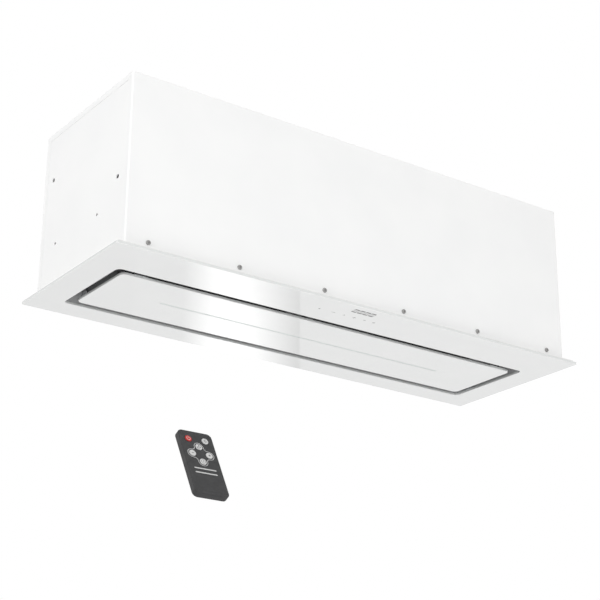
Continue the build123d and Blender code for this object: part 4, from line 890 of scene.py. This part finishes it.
box_white = moulded("box_white", (0.78, 0.78, 0.765, 1), gloss=0.45, texture=1000.0)
dress(box_white, "control_box", "control_lid", "led_driver", "touch_holder")
lid_low, lid_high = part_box("control_lid")
lid_screws = screw_spots(
    between_ends(lid_low[0], lid_high[0], lid_screw_inset),
    between_ends(lid_low[1], lid_high[1], lid_screw_inset),
    lid_low[2],
    turn_by_x=11.0, turn_by_y=23.0, facing=facing_below,
)
screw_set("lid_screws", lid_screws, **small_screw)
driver_low, driver_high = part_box("led_driver")
driver_screws = screw_spots(
    between_ends(driver_low[0], driver_high[0], driver_screw_inset),
    ((driver_low[1] + driver_high[1]) / 2,),
    driver_high[2] - driver_ear,
    turn_by_x=7.0, turn_by_y=0.0, facing=facing_below,
)
screw_set("driver_screws", driver_screws, **small_screw)
dress(moulded("gland_grey", (0.30, 0.31, 0.32, 1), gloss=0.5, texture=1000.0), "cable_gland")
dress(moulded("display_black", (0.015, 0.015, 0.016, 1), gloss=0.25, texture=800.0), "display_module")

# ---------------------------------------------------------------- remote control
# Two halves of finely textured black plastic, soft printed keys and a pull-out tray for the cell.
# The lines and symbols are printed on the case and the keys.
remote_middle, remote_lean = (-0.276, -0.114, -0.293), math.radians(61.2)
face_level, key_level = 0.005, 0.0058
key_column, key_row = 0.014, 0.0434
pad_row, pad_offset = 0.0157, 0.014
lobe_radius = 0.008
waist_reach, waist_radius = 0.0134, 0.00514
waist_start = 30.7  # degrees from a lobe's middle to where the waist's hollow begins
clover_line = 0.0008
stripe_rows = (-0.0120, -0.0200)
stripe_length, stripe_width = 0.037, 0.0021
key_power_radius, key_power_line = 0.0033, 0.0007
key_light_radius, key_timer_radius = 0.0032, 0.0036
key_fan_radius, key_arc_radius = 0.0030, 0.0040
arc_share = 120  # degrees of each half turn that the two arcs round the fan take up
key_fine_line = 0.0005
key_bar_length, key_bar_width = 0.0042, 0.0008

remote_black = moulded("remote_black", (0.026, 0.026, 0.027, 1), gloss=0.55, texture=1600.0, depth=0.000012)
dress(remote_black, "remote_front_case", "remote_back_case", "battery_tray")
key_grey = moulded("key_grey", (0.58, 0.58, 0.575, 1), gloss=0.5, texture=1500.0)
dress(key_grey, *(f"remote_key_{key}" for key in ("light", "up", "left", "right", "down")))
dress(moulded("key_red", (0.45, 0.012, 0.010, 1), gloss=0.45, texture=1500.0), "remote_key_power")
dress(turned_metal("cell_steel", gloss=0.18), "coin_cell")


def clover_reach(angle):
    """Distance of the clover line from its middle: round lobes at the keys, hollow waists between them."""
    from_lobe = abs((math.degrees(angle) + 45) % 90 - 45)
    if from_lobe > waist_start:
        waist = math.radians(45 - from_lobe)
        waist_middle = waist_reach + waist_radius
        half_chord = math.sqrt(waist_radius**2 - (waist_middle * math.sin(waist)) ** 2)
        return waist_middle * math.cos(waist) - half_chord
    lobe = math.radians(from_lobe)
    half_chord = math.sqrt(lobe_radius**2 - (pad_offset * math.sin(lobe)) ** 2)
    return pad_offset * math.cos(lobe) + half_chord


def key_mark(key, parts, finish):
    """Fixes a symbol's parts on the key that it belongs to."""
    fix_whole(parts, f"remote_mark_{key}", finish, f"key_{key}", on_keys)


print_grey = ink("print_grey", (0.62, 0.62, 0.615, 1), (0.56, 0.56, 0.555, 1))
print_dark = ink("print_dark", (0.10, 0.10, 0.10, 1), (0.075, 0.075, 0.075, 1))
print_pale = ink("print_pale", (0.80, 0.62, 0.58, 1), (0.74, 0.56, 0.52, 1))
remote_place = Matrix.Translation(remote_middle) @ Matrix.Rotation(remote_lean, 4, "X")
on_face = remote_place @ Matrix.Translation((0, 0, face_level))
on_keys = remote_place @ Matrix.Translation((0, 0, key_level))
lines = [ink_loop((0, pad_row), clover_reach, clover_line, steps=128)]
lines += [ink_bar((0, row), stripe_length, stripe_width, 0.0, 1) for row in stripe_rows]
fix_whole(lines, "remote_lines", print_grey, "hood", on_face)

key_mark("power", power_symbol((-key_column, key_row), key_power_radius, key_power_line), print_pale)
key_mark("light", sun_symbol((key_column, key_row), key_light_radius, key_fine_line), print_dark)
up_key, down_key = (0, pad_row + pad_offset), (0, pad_row - pad_offset)
up_parts = fan_symbol(up_key, key_fan_radius, key_fine_line)
up_parts.append(
    ink_loop(up_key, lambda angle: key_arc_radius, key_fine_line, lambda angle: angle % 180 < arc_share)
)
key_mark("up", up_parts, print_dark)
key_mark("left", [ink_bar((-pad_offset, pad_row), key_bar_length, key_bar_width)], print_dark)
plus_bars = [ink_bar((pad_offset, pad_row), key_bar_length, key_bar_width, turn) for turn in (0.0, math.pi / 2)]
key_mark("right", plus_bars, print_dark)
key_mark("down", clock_symbol(down_key, key_timer_radius, key_fine_line), print_dark)

# ---------------------------------------------------------------- close
bpy.context.view_layer.update()
